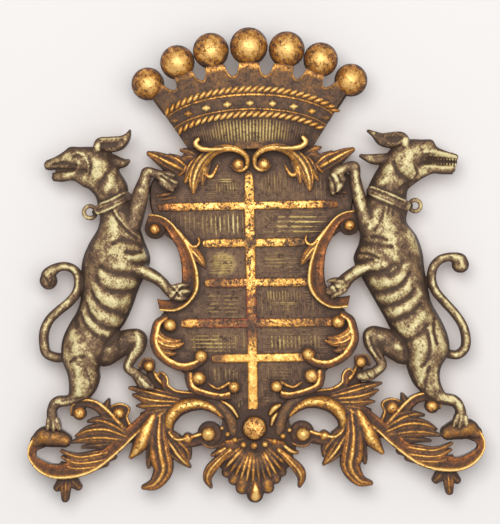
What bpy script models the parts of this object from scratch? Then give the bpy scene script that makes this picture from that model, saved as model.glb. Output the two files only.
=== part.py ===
"""Carved armorial shield: a seven-ball coronet over a scrolled shield, held up by two hounds.

The piece is one carving with a flat back. Its outline is set out on a drawing sheet ruled in
squares: x to the right and y down. The sheet leans a little, so on_sheet turns it upright. Depths
are in metres in front of the flat back, which lies in the plane Y = 0. The front faces -Y.
"""

import math

import bmesh
import bpy
from mathutils import Vector

# Overall size, in metres.
HEIGHT = 0.600

# Depths in front of the flat back, in metres.
GROUND_EDGE = 0.017
GROUND_SWELL = 0.009
BAR_PROUD = 0.0032
SCROLL_TOP = 0.034
LEAF_TOP = 0.031
HOUND_TOP = 0.046
CROWN_FRONT = 0.046
CROWN_SIDE = 0.020
CAP_SET_BACK = 0.005
BAND_SET_BACK = 0.002
LIP_PROUD = 0.001
ROPE_PROUD = 0.0045
BALL_FORWARD = 0.002
SHELL_TOP = 0.036
RING_TOP = 0.014

# Fineness of the carving, in metres.
VOXEL = 0.00125
TRIANGLE_BUDGET = 8200

# How far the rough carving runs on behind the flat back, before it is cut.
BEHIND = 5 * VOXEL

# The drawing sheet: squares from the top ball to the tip of the bottom leaf, the square that
# lies over the mount, and the lean of the sheet in degrees.
SQUARES_HIGH = 477.0
MOUNT_X = 253.0
MOUNT_Y = 267.0
SHEET_LEAN = 1.1
SQUARE = HEIGHT / SQUARES_HIGH

# Points across a section: place from edge to edge, and share of the depth.
ROUND = ((-1.0, 0.30), (-0.92, 0.62), (-0.70, 0.84), (-0.38, 0.96), (0.0, 1.0),
         (0.38, 0.96), (0.70, 0.84), (0.92, 0.62), (1.0, 0.30))
RIDGE = ((-1.0, 0.58), (-0.55, 0.80), (-0.12, 1.0), (0.12, 1.0), (0.55, 0.80), (1.0, 0.58))
RIMMED = ((-1.0, 0.62), (-0.80, 0.72), (-0.25, 0.64), (0.35, 0.74), (0.68, 0.96),
          (0.86, 1.0), (1.0, 0.88))
RIMMED_OUT = tuple((-place, share) for place, share in reversed(RIMMED))
FLAT = ((-1.0, 0.94), (-0.88, 1.0), (0.88, 1.0), (1.0, 0.94))
BACK_SHARE = 0.82

# Half width of the shield at each height above the mount, in squares.
GROUND_HALVES = (
    (122, 62), (110, 72), (98, 90), (84, 101), (66, 102), (50, 98), (38, 92), (24, 76),
    (8, 69), (-10, 67), (-26, 70), (-36, 82), (-48, 94), (-62, 99), (-78, 99), (-92, 91),
    (-104, 73), (-114, 62), (-125, 58), (-136, 48), (-146, 28), (-166, 25),
)
GROUND_STEPS = 4

# Half spans over which the shield's face swells, in squares.
SWELL_ACROSS = 105.0
SWELL_ALONG = 185.0

# Bars on the shield: where each starts and ends on the sheet, its half width, and how far from
# its ends a cross bar narrows.
BAR_TAPER = 8.0
BAR_END_SHARE = 0.6
UPRIGHT_BAR = ((247.5, 172, 1.2), (249, 181, 4.6), (250, 240, 5.2), (252, 330, 5.0), (253, 409, 5.2))
CROSS_BARS = (
    ((160, 207.5), (336, 204.0), 4.0),
    ((203, 243.5), (305, 242.0), 4.2),
    ((205, 283.0), (317, 282.0), 4.2),
    ((182, 323.5), (335, 322.0), 4.4),
    ((212, 358.5), (320, 357.0), 4.2),
)

# Coronet: radius, height above the mount and drop of each curved edge, in squares.
CROWN_ANGLE = 66.0
CROWN_STEPS = 20
CROWN_TOP = (99.0, 192.5, 38.0)
UPPER_ROPE = (93.0, 177.0, 38.0)
JEWEL_BAND = (87.0, 163.0, 31.0)
LOWER_ROPE = (79.0, 152.0, 27.5)
CAP_FOOT = (69.0, 118.0, -4.0)
ROPE_HALF = 3.4
BALL_RING = (116.0, 220.0, 68.0)
BALL_ANGLES = (0.0, 19.0, 38.0, 61.0)
BALL_RADII = (19.0, 18.0, 17.3, 16.5)
STALK_HALF = 6.5
STALK_FLARE = (1.7, 0.9, 1.0)
JEWEL_ANGLES = (0.0, 15.0, 30.0, 45.0)
JEWEL_RADIUS = 4.2

# Strokes carved on both sides of the shield, drawn on the left: x, y, half width, share of depth.
CREST_SCROLL = ((247, 165, 1.6, 0.95), (246, 158, 1.8, 1.0), (239, 151, 2.4, 1.0), (228, 148.5, 3, 1.0),
                (216, 151, 4, 1.0), (206, 158, 5.5, 1.0), (198, 169, 6.5, 0.98), (194, 182, 5, 0.95),
                (193, 193, 1.5, 0.85))
CREST_BALL = (237.5, 164, 6.0)
CREST_TIPS = (((206, 155, 3, 0.9), (194, 166, 5, 0.9), (185, 182, 1.5, 0.8)),
              ((211, 156, 3, 0.95), (204, 170, 4.5, 0.95), (202, 184, 1.4, 0.85)))
CREST_HOOK = ((212, 156, 2, 0.9), (205, 167, 3, 0.95), (206, 175, 2.6, 0.9), (212, 176, 2.2, 0.9),
              (218, 165, 1.2, 0.8))
CROWN_HOOK = ((212, 150, 2.0, 0.95), (202, 149, 2.6, 1.0), (196, 145, 2.6, 1.0), (199, 140, 2.2, 1.0))
CORNER_TIPS = (((200, 158, 5, 0.8), (190, 152, 4.5, 0.8), (181, 150, 1.5, 0.72)),
               ((200, 160, 5, 0.8), (190, 157, 4.5, 0.78), (184, 158, 1.5, 0.7)))
FLAME_TIPS = (((182, 170, 8, 0.72), (168, 163, 7, 0.8), (156, 157, 4.5, 0.78), (147, 153, 1.6, 0.7)),
              ((186, 170, 7, 0.72), (177, 162, 5, 0.75), (168, 156, 2, 0.7)))

# Side scroll of the shield: outer edge and rim edge at each station, then its share of depth.
SIDE_RIBBON = (
    (146, 222, 149, 214, 0.80), (158, 223, 160, 215.5, 0.88), (166, 229, 170, 221, 0.94),
    (172, 239, 179, 231, 1.0), (178, 250, 188, 244, 1.0), (181, 262, 195, 260, 1.0),
    (182, 275, 199, 277, 1.0), (181, 287, 198, 291, 1.0), (176, 296, 190, 303, 0.97),
    (168, 300, 177, 311, 0.92), (157, 299, 160, 311, 0.85),
)
SIDE_ROLL = (155, 228.5, 10.5)
SIDE_BOSS = (155, 229, 5.5)
SIDE_HOOK = ((188, 244, 1.6, 0.9), (194, 248, 1.6, 0.92), (199, 244, 1.6, 0.92), (198, 238, 1.3, 0.88))
SIDE_BUD = (((186, 243, 2.5, 0.85), (197, 252, 4.2, 0.95), (205, 265, 1.5, 0.8)),
            ((188, 250, 2.5, 0.85), (196, 259, 3.4, 0.9), (203, 266, 1.5, 0.8)))

# Two lower scrolls of the shield.
LOWER_RIBBON = (
    (167, 313, 168, 319, 0.80), (155, 320, 162, 324, 0.90), (151, 331, 160, 331, 0.96),
    (150, 343, 158.5, 341, 1.0), (155, 355, 162.5, 350, 1.0), (166, 365, 170.5, 358, 0.98),
    (180, 371, 182, 362.5, 0.94), (193, 370, 192.5, 361, 0.92), (203, 364, 200, 357, 0.92),
)
LOWER_BALLS = ((170, 325, 7.0), (201, 356.5, 7.0), (199, 378, 7.5), (234, 387, 6.0))
LOWER_LEAF = (((157, 328, 2.5, 0.85), (164, 338, 3.5, 0.85), (179, 340.5, 1.4, 0.75)),
              ((155, 334, 2.5, 0.88), (165, 343, 4, 0.9), (183, 344.5, 1.4, 0.78)),
              ((156, 342, 2.5, 0.88), (164, 350, 3.6, 0.86), (176, 353.5, 1.4, 0.75)))
FOOT_RIBBON = (
    (184, 370, 193, 373, 0.80), (185.5, 382, 193, 381, 0.85), (190, 391, 197, 386.5, 0.88),
    (204, 397, 208, 390.5, 0.88), (219, 400, 221, 393, 0.88), (231, 399, 230, 391, 0.90),
)
FOOT_HOOK = ((209, 384, 1.4, 0.75), (218, 388.5, 1.6, 0.8), (229, 383, 1.8, 0.86))

# Base: the long ribbon, its roll under the hound's foot, and the leaves that spring from it.
BASE_RIBBON = (
    (34, 434, 46, 447, 0.75), (28.5, 446, 37, 451, 0.85), (28, 456, 36, 456, 0.92),
    (33, 466, 42, 460, 0.98), (42, 474, 52, 464, 1.0), (54, 478.5, 60, 464, 1.0),
    (68, 479, 68, 462, 1.0), (83, 476, 81, 460, 1.0), (97, 470, 93, 455, 1.0),
    (112, 458.5, 106, 447, 0.98), (127, 445, 120, 434, 0.95), (141, 431, 134, 421, 0.92),
    (157, 418, 150, 408, 0.88), (177, 408, 172, 398, 0.85), (204, 404, 204, 395, 0.80),
)
BASE_ROLL = ((37, 441, 7, 0.85), (44, 437, 10, 1.0), (54, 437, 10.5, 1.0), (64, 440, 8, 0.9))
INNER_LEAF = (((114, 456, 4, 0.75), (90, 457, 5, 0.82), (62, 451, 1.6, 0.7)),
              ((112, 460, 4, 0.8), (88, 463, 5, 0.86), (60, 459, 1.6, 0.72)),
              ((104, 466, 4, 0.8), (82, 468, 4.5, 0.84), (62, 466, 1.6, 0.72)))
UPPER_LEAF_STEM = ((75, 408, 3.0, 0.8), (84, 403, 4.2, 0.88), (95, 405, 5, 0.9), (104, 412, 5.5, 0.9),
                   (113, 423, 7, 0.86), (122, 433, 8, 0.8), (134, 436, 7, 0.75))
UPPER_LEAF_BALLS = ((80, 414, 7.5), (119, 413, 6.5), (149, 366, 6.0), (188, 438, 5.5))
UPPER_LEAF_HOOK = ((113, 408, 3, 0.8), (120, 406, 3, 0.85), (127, 409, 3, 0.82), (124, 417, 4, 0.8),
                   (127, 428, 6, 0.78))
UPPER_LEAF_TIPS = (((104, 416, 5, 0.8), (106, 407, 4.5, 0.8), (108.5, 399.5, 1.4, 0.7)),
                   ((122, 432, 5, 0.85), (106, 425, 6, 0.9), (90, 420, 1.8, 0.72)),
                   ((122, 435, 5, 0.88), (101, 430, 6, 0.92), (80, 430, 1.8, 0.75)),
                   ((120, 438, 5, 0.88), (97, 436, 6, 0.92), (71, 442, 1.6, 0.72)),
                   ((118, 441, 4, 0.8), (100, 443, 4.5, 0.82), (83, 444.5, 1.6, 0.7)))
BOTTOM_LEAF_TIPS = (((68, 474, 6, 0.85), (61, 483, 5.5, 0.8), (53, 490, 2, 0.65)),
                    ((66, 474, 6, 0.9), (66, 488, 6, 0.85), (65, 504, 2.5, 0.65)),
                    ((66, 474, 6, 0.85), (73, 483, 6.5, 0.8), (80, 490, 2.5, 0.65)))
MIDDLE_LEAF_TIPS = (((152, 417, 4, 0.9), (144, 434, 7.5, 0.98), (139, 447, 7, 0.95), (129.5, 458, 2, 0.75)),
                    ((160, 418, 7, 0.9), (159, 437, 9, 1.0), (162, 455, 11.5, 1.0),
                     (165, 470, 11, 0.95), (157, 483, 7, 0.85), (142.5, 487, 2, 0.7)),
                    ((157, 444, 5, 0.8), (152, 456, 5.5, 0.8), (150, 467, 2, 0.65)),
                    ((166, 438, 6, 0.85), (177, 453, 8, 0.88), (190, 467.5, 2, 0.65)),
                    ((172, 436, 5, 0.8), (183, 448, 6, 0.8), (188, 455, 3, 0.7)))
ARCH = ((168, 432, 3, 0.8), (169, 419, 6.5, 1.0), (176, 409, 7.5, 1.05), (188, 405, 6.5, 1.05),
        (202, 405, 5.5, 1.0), (215, 410, 5, 0.92), (225, 419, 3.5, 0.85), (228, 432, 5, 0.8))
ARCH_CURL = ((164, 424, 4, 0.85), (167, 435, 4.5, 0.9), (176, 443, 5.5, 0.92), (188, 442, 6, 0.92),
             (204, 438, 7, 0.85))
FAN_STEM = ((157, 378, 2.5, 0.75), (161, 374.5, 3, 0.8), (165, 379, 3.4, 0.85), (166, 387, 4, 0.85),
            (176, 394, 4.5, 0.82), (192, 396, 4.5, 0.8), (208, 398, 4, 0.78))
FAN_HOOK = ((141, 368, 2.4, 0.75), (144, 361, 2.6, 0.78), (152, 362, 2.8, 0.78), (151, 372, 4.5, 0.75),
            (156, 384, 7, 0.75), (168, 393, 7, 0.75))
FAN_TIPS = (((176, 400, 4, 0.85), (152, 395, 6, 0.85), (129.5, 387.5, 1.6, 0.7)),
            ((178, 403, 4, 0.88), (155, 402, 6, 0.88), (134, 396, 1.6, 0.7)),
            ((178, 405, 4, 0.88), (156, 407, 5, 0.88), (137, 406, 1.6, 0.7)),
            ((176, 408, 4, 0.85), (156, 412, 5, 0.84), (142, 414, 1.6, 0.68)))

# Shell at the foot of the shield.
SHELL_BOSS = (254.5, 428, 11.5)
SHELL_CUPS = ((210, 434, 12.5), (302, 433, 12.5))
SHELL_BALLS = ((208.5, 434, 7.0), (303, 434, 7.0))
BEAD_CHAIN = ((221, 427, 1.8, 0.9), (228, 435, 2.4, 0.92), (240, 443, 2.9, 0.95), (254, 445.5, 3.2, 0.97),
              (269, 443.5, 2.9, 0.95), (282, 436, 2.4, 0.92), (290, 428, 1.8, 0.9))
SHELL_TIPS = (((236, 440, 6, 0.9), (220, 447, 9, 0.88), (211, 460, 4, 0.7)),
              ((240, 444, 6, 0.92), (221, 458, 9, 0.9), (207, 474, 4, 0.7)),
              ((242, 444, 6, 0.95), (223, 464, 9, 0.9), (211, 487, 3, 0.65)),
              ((245, 446, 6, 0.95), (229, 466, 9, 0.92), (226, 478, 4, 0.7)),
              ((247, 446, 6, 0.95), (236, 470, 9, 0.92), (238, 490, 4, 0.65)),
              ((254, 444, 6, 1.0), (249, 474, 9, 0.95), (250, 498, 4.5, 0.65)),
              ((255, 444, 6, 1.0), (259, 474, 9, 0.95), (257, 504.5, 4.5, 0.65)),
              ((262, 446, 6, 0.95), (272, 470, 9, 0.92), (269, 493, 4, 0.65)),
              ((264, 446, 6, 0.95), (280, 465, 9, 0.9), (280, 481, 4, 0.65)),
              ((266, 445, 6, 0.95), (285, 462, 9, 0.9), (290, 475, 4, 0.7)),
              ((268, 444, 6, 0.95), (289, 460, 9, 0.9), (299, 487, 3, 0.65)),
              ((272, 440, 6, 0.9), (291, 448, 9, 0.88), (301, 466, 4, 0.7)))
SHELL_RIDGES = (((222, 401, 1.8, 0.75), (233, 408, 2.2, 0.8), (240, 419, 2, 0.78)),
                ((283, 400, 1.8, 0.75), (274, 407, 2.2, 0.8), (268, 418, 2, 0.78)))

# Hound on the left. Stations give the back edge, the front edge and the share of depth.
LEFT_TORSO = (
    (99, 203, 124, 191, 0.72), (100, 215, 130, 205, 0.78), (98, 228, 138, 222, 0.90),
    (88, 245, 144, 240, 1.0), (81.5, 262, 150, 258, 1.0), (81, 280, 146, 272, 0.96),
    (80, 300, 138, 290, 0.90), (76, 312, 132, 307, 0.86), (69, 324, 125, 322, 0.88),
    (63, 337, 116, 335, 0.95), (61, 350, 108, 350, 1.0), (63, 362, 100, 366, 0.96),
    (68, 376, 100, 378, 0.88), (69, 390, 96, 390, 0.80), (68, 398, 90, 398, 0.70),
)
LEFT_NECK = (
    (98, 206, 128, 196, 0.74), (95, 196, 127, 184, 0.78), (88, 188, 119, 170, 0.84),
    (84, 180, 114, 157, 0.88), (84, 172, 108, 150, 0.84),
)
LEFT_SKULL = (
    (103, 150, 108, 170, 0.76), (93, 147, 97, 174, 0.86), (80, 147, 83, 172, 0.84),
    (70, 147, 72, 170, 0.76), (64, 152, 65, 169, 0.68), (56, 158, 57, 169, 0.62),
    (47, 162, 46, 169.5, 0.52),
)
LEFT_JAW = (
    (98, 168, 97, 192, 0.78), (86, 168, 84, 187, 0.74), (74, 170, 73, 180.5, 0.66),
    (62, 171.5, 61, 181.5, 0.60), (52, 173, 53, 181, 0.48),
)
LEFT_LIMBS = (
    # Near ear, then the far ear.
    ((97, 150, 4, 0.86), (101, 144, 6, 0.92), (110, 144.5, 7.5, 0.90), (120, 142.5, 6.5, 0.82),
     (127, 137, 3.6, 0.72), (130, 130.5, 1.0, 0.62)),
    ((104, 158, 5, 0.62), (117, 160, 5, 0.6), (128, 160.5, 1.8, 0.5)),
    # Raised foreleg and its paw.
    ((130, 226, 11, 0.85), (137, 208, 9, 0.82), (141, 193, 8, 0.76), (145, 179, 5.8, 0.72),
     (147, 172, 4.8, 0.74), (157, 174, 4.6, 0.78), (167, 179, 6.2, 0.84), (175, 185, 3.5, 0.74)),
    # Lower foreleg and its paw.
    ((118, 266, 10, 0.9), (140, 271, 7.2, 0.82), (152, 275.5, 6.6, 0.8), (162, 282.5, 5.6, 0.8),
     (169, 290, 5.6, 0.86), (177, 293, 8, 0.96), (186, 292, 4.5, 0.86)),
    # Far hind leg.
    ((104, 352, 15, 0.72), (120, 344, 13, 0.72), (137, 338, 9, 0.72), (138, 347, 7.5, 0.70),
     (132, 358, 5.4, 0.66), (128, 367, 4.8, 0.66), (136, 374, 5.2, 0.72), (144, 382, 7, 0.82),
     (151, 386, 4, 0.76)),
    # Near hind leg from the knee to the foot.
    ((80, 392, 11, 0.74), (70, 400, 5.4, 0.66), (57, 402.5, 5.8, 0.66), (52, 410, 4.8, 0.66),
     (53, 420, 5.6, 0.72), (57, 429, 8, 0.86), (60, 438, 8, 0.88), (64, 446, 4.5, 0.80)),
    # Tail.
    ((66, 358, 4.5, 0.45), (55, 357.5, 4.8, 0.45), (46, 353, 4.8, 0.45), (43.5, 343, 4.8, 0.45),
     (44, 331, 4.8, 0.45), (49, 320, 4.6, 0.45), (58, 311, 4.6, 0.45), (68, 303, 4.6, 0.45),
     (76, 293, 4.6, 0.45), (78.5, 281, 4.6, 0.45), (75, 271, 4.4, 0.45), (66, 266.5, 4.4, 0.45),
     (56, 268, 4.8, 0.45), (48, 275, 7, 0.50), (48, 283, 7, 0.45)),
)
LEFT_TUFT = (48, 280.5, 8.8)
LEFT_RING = (89.5, 212, 6.0)
LEFT_LUG = ((94, 212, 2.6, 0.28), (104, 210, 4.0, 0.5))

# Hound on the right.
RIGHT_TORSO = (
    (407, 199, 370, 185, 0.72), (408, 210, 366, 198, 0.78), (407, 222, 361, 215, 0.90),
    (417, 236, 360, 240, 1.0), (423, 252, 354, 258, 1.0), (425, 268, 359, 271, 0.96),
    (428, 285, 367, 286, 0.90), (432, 302, 376, 302, 0.86), (439, 315, 383, 314, 0.88),
    (445, 327, 391, 329, 0.95), (449, 340, 399, 341, 1.0), (449, 353, 405, 356, 0.96),
    (441, 367, 408, 370, 0.88), (440, 380, 414, 384, 0.80), (444, 391, 422, 393, 0.72),
)
RIGHT_NECK = (
    (407, 202, 368, 188, 0.74), (408, 190, 373, 177, 0.78), (415, 182, 380, 165, 0.84),
    (420, 176, 388, 152, 0.88), (420, 168, 396, 145, 0.84),
)
RIGHT_SKULL = (
    (400, 143, 395, 165, 0.76), (408, 139.5, 406, 168, 0.86), (422, 139.5, 420, 165, 0.84),
    (432, 140, 431, 162, 0.76), (437, 147, 438, 160, 0.68), (446, 151, 447, 160, 0.62),
    (457, 155, 457, 160, 0.52),
)
RIGHT_JAW = (
    (405, 162, 409, 188, 0.78), (418, 163, 420, 180, 0.74), (430, 163, 433, 173.5, 0.66),
    (442, 165, 443, 174, 0.60), (454, 164, 453, 174, 0.48),
)
RIGHT_LIMBS = (
    # Near ear, then the far ear.
    ((407, 146, 4, 0.86), (401, 139, 6.5, 0.92), (391, 140, 7.5, 0.90), (382, 139, 6.0, 0.82),
     (375, 134.5, 3.0, 0.72), (368, 130.5, 1.0, 0.62)),
    ((388, 158, 5, 0.62), (374, 159, 5, 0.6), (361, 155.5, 1.6, 0.5)),
    # Raised foreleg and its paw.
    ((370, 228, 11, 0.85), (363, 210, 7.5, 0.82), (358, 193, 6.5, 0.76), (355, 178, 5.6, 0.72),
     (354, 167, 5.4, 0.74), (345, 168, 4.8, 0.78), (337, 174, 6.4, 0.84), (334, 184, 5.6, 0.84),
     (333, 192, 3, 0.74)),
    # Lower foreleg and its paw.
    ((392, 262, 10, 0.9), (375, 265, 7.2, 0.82), (360, 270, 6.4, 0.8), (349, 277, 6.4, 0.8),
     (340, 286, 7.6, 0.96), (330, 291, 4.5, 0.86)),
    # Far hind leg.
    ((404, 350, 15, 0.72), (388, 342, 13, 0.72), (373, 335, 9, 0.72), (372, 344, 7.5, 0.70),
     (378, 356, 5.4, 0.66), (382, 365, 4.8, 0.66), (376, 371, 5.0, 0.72), (368, 375, 6, 0.82),
     (360, 376, 4, 0.76)),
    # Near hind leg from the knee to the foot.
    ((432, 390, 10, 0.74), (442, 398, 6.4, 0.66), (454, 401, 6.0, 0.66), (460, 408, 5.0, 0.66),
     (461, 418, 5.4, 0.72), (458, 427, 8, 0.86), (455, 436, 8, 0.88), (450, 444, 4.5, 0.80)),
    # Tail.
    ((446, 353, 4.5, 0.45), (457, 355, 4.6, 0.45), (465, 349, 4.6, 0.45), (466.5, 338, 4.6, 0.45),
     (463, 325, 4.4, 0.45), (455, 313, 4.4, 0.45), (445, 302, 4.4, 0.45), (436, 291, 4.4, 0.45),
     (432, 279, 4.4, 0.45), (434, 267, 4.4, 0.45), (441, 259.5, 4.4, 0.45), (451, 257, 4.6, 0.45),
     (460, 260, 7, 0.50), (461, 266, 7, 0.45)),
)
RIGHT_TUFT = (461, 264.5, 8.4)
RIGHT_RING = (415.5, 205.5, 5.6)
RIGHT_LUG = ((411, 205.5, 2.6, 0.28), (401, 204, 4.0, 0.5))
RING_WIRE = 2.2

# Collars, and the ribs that show on both hounds, drawn on the left one.
LEFT_COLLAR = ((96, 209.5, 6, 0.70), (105, 206.5, 6, 0.86), (118, 200.5, 6, 0.88), (129, 195.5, 6, 0.74))
RIGHT_COLLAR = ((409, 206, 5.5, 0.70), (399, 203, 5.5, 0.86), (384, 196, 5.5, 0.88), (369, 189.5, 5.5, 0.74))
RIBS = (
    ((98, 269, 2.5, 0.98), (106, 278, 4, 1.03), (119, 283.5, 4.2, 1.01), (137, 283, 3, 0.74)),
    ((92, 283, 2.5, 0.94), (99, 294, 4, 1.0), (112, 301, 4.2, 0.98), (129, 302.5, 3, 0.72)),
    ((87, 297, 2.5, 0.88), (93, 308, 4, 0.96), (105, 316.5, 4.2, 0.95), (121, 321, 3, 0.72)),
    ((82, 309, 2.5, 0.85), (89, 320, 4, 0.94), (99, 328.5, 4.2, 0.94), (113, 333, 3, 0.74)),
)


def on_sheet(x, y):
    """Squares to the right of the mount and above it, for a place on the drawing sheet."""
    lean = math.radians(SHEET_LEAN)
    across = x - MOUNT_X
    up = MOUNT_Y - y
    right = across * math.cos(lean) + up * math.sin(lean)
    return Vector((right, up * math.cos(lean) - across * math.sin(lean)))


def mirrored(spot):
    return Vector((-spot[0], spot[1]))


def point(spot, depth):
    """A point of the part, in metres, from squares in the drawing and a depth."""
    return Vector((spot[0] * SQUARE, -depth, spot[1] * SQUARE))


def smooth_rows(rows, steps):
    """Rows of numbers with a smooth curve through them, in steps from each to the next."""
    padded = [rows[0], *rows, rows[-1]]
    found = []
    for before, start, end, after in zip(padded, padded[1:], padded[2:], padded[3:]):
        for step in range(steps):
            t = step / steps
            found.append([
                0.5 * (2 * b + (c - a) * t + (2 * a - 5 * b + 4 * c - d) * t * t
                       + (3 * b - a - 3 * c + d) * t ** 3)
                for a, b, c, d in zip(before, start, end, after)
            ])
    found.append(list(rows[-1]))
    return found


def skin(carving, rings):
    """A closed body through rings of points, with its two ends filled."""
    rows = [[carving.verts.new(spot) for spot in ring] for ring in rings]
    count = len(rows[0])
    for near, far in zip(rows, rows[1:]):
        for i in range(count):
            j = (i + 1) % count
            carving.faces.new((near[i], near[j], far[j], far[i]))
    carving.faces.new(rows[0])
    carving.faces.new(rows[-1])


def section_ring(left, right, top, section):
    """Points of one section, from behind the flat back over the front and down again."""
    middle = (left + right) / 2
    half = (right - left) / 2
    ring = [point(middle - half * BACK_SHARE, -BEHIND)]
    ring += [point(middle + half * place, top * share) for place, share in section]
    ring.append(point(middle + half * BACK_SHARE, -BEHIND))
    return ring


def stroke(carving, rows, top, section, both=False):
    """A carved stroke along x, y, half width, share of depth."""
    smooth = smooth_rows(rows, 4)
    spots = [on_sheet(x, y) for x, y, half, share in smooth]
    for flip in ((False, True) if both else (False,)):
        line = [mirrored(spot) for spot in spots] if flip else spots
        rings = []
        for i, (x, y, half, share) in enumerate(smooth):
            ahead = line[min(i + 1, len(line) - 1)] - line[max(i - 1, 0)]
            side = Vector((-ahead.y, ahead.x)).normalized() * half
            rings.append(section_ring(line[i] - side, line[i] + side, top * share, section))
        skin(carving, rings)


def stations(carving, rows, top, section, both=False):
    """A carved form whose two edges are given at each station."""
    smooth = smooth_rows(rows, 3)
    for flip in ((False, True) if both else (False,)):
        rings = []
        for x1, y1, x2, y2, share in smooth:
            left = on_sheet(x1, y1)
            right = on_sheet(x2, y2)
            if flip:
                left = mirrored(left)
                right = mirrored(right)
            rings.append(section_ring(left, right, top * share, section))
        skin(carving, rings)


def ball(carving, spot, radius, depth):
    """A ball with its middle at a depth, all in metres but the spot and radius in squares."""
    rings = []
    for i in range(1, 8):
        tilt = math.pi * i / 8
        reach = radius * math.sin(tilt)
        rings.append([
            point(spot + Vector((math.cos(turn), math.sin(turn))) * reach,
                  depth + radius * SQUARE * math.cos(tilt))
            for turn in (math.tau * j / 14 for j in range(14))
        ])
    skin(carving, rings)


def boss(carving, spot, radius, top, both=False):
    """A round boss: straight sides from behind the back, with a domed front."""
    for centre in ((spot, mirrored(spot)) if both else (spot,)):
        rings = []
        for reach, depth in ((0.96, -BEHIND), (1.0, top - radius * SQUARE * 0.9), (0.92, top * 0.86),
                             (0.66, top * 0.96), (0.30, top)):
            rings.append([
                point(centre + Vector((math.cos(turn), math.sin(turn))) * radius * reach, depth)
                for turn in (math.tau * j / 14 for j in range(14))
            ])
        skin(carving, rings)


def ground_depth(spot):
    """Depth of the shield's swelling face at a spot, in metres."""
    across = max(0.0, 1 - (spot[0] / SWELL_ACROSS) ** 2)
    along = max(0.0, 1 - (spot[1] / SWELL_ALONG) ** 2)
    return GROUND_EDGE + GROUND_SWELL * across * along


def carve_ground(carving):
    """The shield's ground, in level rows from top to bottom."""
    rings = []
    for height, half in smooth_rows(GROUND_HALVES, GROUND_STEPS):
        ring = [point(Vector((-half * BACK_SHARE, height)), -BEHIND)]
        ring.append(point(Vector((-half, height)), GROUND_EDGE * 0.8))
        for i in range(11):
            spot = Vector((half * 0.97 * (i / 5 - 1), height))
            ring.append(point(spot, ground_depth(spot)))
        ring.append(point(Vector((half, height)), GROUND_EDGE * 0.8))
        ring.append(point(Vector((half * BACK_SHARE, height)), -BEHIND))
        rings.append(ring)
    skin(carving, rings)


def carve_bar(carving, rows):
    """A raised bar that follows the swelling face: x, y, half width."""
    rings = []
    smooth = smooth_rows(rows, 4)
    line = [on_sheet(x, y) for x, y, half in smooth]
    for i, (x, y, half) in enumerate(smooth):
        ahead = line[min(i + 1, len(line) - 1)] - line[max(i - 1, 0)]
        side = Vector((-ahead.y, ahead.x)).normalized() * half
        top = ground_depth(line[i]) + BAR_PROUD
        rings.append(section_ring(line[i] - side, line[i] + side, top, FLAT))
    skin(carving, rings)


def rim(edge, angle):
    """Spot on one of the coronet's curved edges, at an angle from its front."""
    radius, height, drop = edge
    turn = math.radians(angle)
    return Vector((radius * math.sin(turn), height - drop * (1 - math.cos(turn))))


def crown_depth(angle):
    return CROWN_SIDE + (CROWN_FRONT - CROWN_SIDE) * math.cos(math.radians(angle))


def carve_crown(carving):
    """The coronet: a curved band with two ropes, jewels, and seven balls on short stalks."""
    rings = []
    for step in range(CROWN_STEPS + 1):
        angle = CROWN_ANGLE * (2 * step / CROWN_STEPS - 1)
        depth = crown_depth(angle)
        levels = ((CAP_FOOT, -CAP_SET_BACK), (LOWER_ROPE, -BAND_SET_BACK), (JEWEL_BAND, 0.0),
                  (UPPER_ROPE, LIP_PROUD), (CROWN_TOP, 0.0))
        ring = [point(rim(CAP_FOOT, angle), -BEHIND)]
        ring += [point(rim(edge, angle), depth + proud) for edge, proud in levels]
        ring.append(point(rim(CROWN_TOP, angle), -BEHIND))
        rings.append(ring)
    skin(carving, rings)
    for edge in (UPPER_ROPE, LOWER_ROPE):
        rings = []
        for step in range(CROWN_STEPS + 1):
            angle = CROWN_ANGLE * (2 * step / CROWN_STEPS - 1)
            spot = rim(edge, angle)
            reach = Vector((0, ROPE_HALF))
            rings.append(section_ring(spot - reach, spot + reach, crown_depth(angle) + ROPE_PROUD, ROUND))
        skin(carving, rings)
    for turn, radius in zip(BALL_ANGLES, BALL_RADII):
        for angle in {turn, -turn}:
            spot = rim(BALL_RING, angle)
            depth = crown_depth(angle) - radius * SQUARE * 0.55 + BALL_FORWARD
            ball(carving, spot, radius, max(depth, radius * SQUARE * 0.97))
            foot = rim(UPPER_ROPE, angle * 0.96)
            line = (foot, foot.lerp(spot, 0.45), spot)
            rings = []
            for place, share in zip(line, STALK_FLARE):
                side = (spot - foot).normalized()
                side = Vector((-side.y, side.x)) * STALK_HALF * share
                rings.append(section_ring(place - side, place + side, crown_depth(angle) * 0.9, ROUND))
            skin(carving, rings)
    for turn in JEWEL_ANGLES:
        for angle in {turn, -turn}:
            boss(carving, rim(JEWEL_BAND, angle), JEWEL_RADIUS, crown_depth(angle) + ROPE_PROUD)


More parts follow.
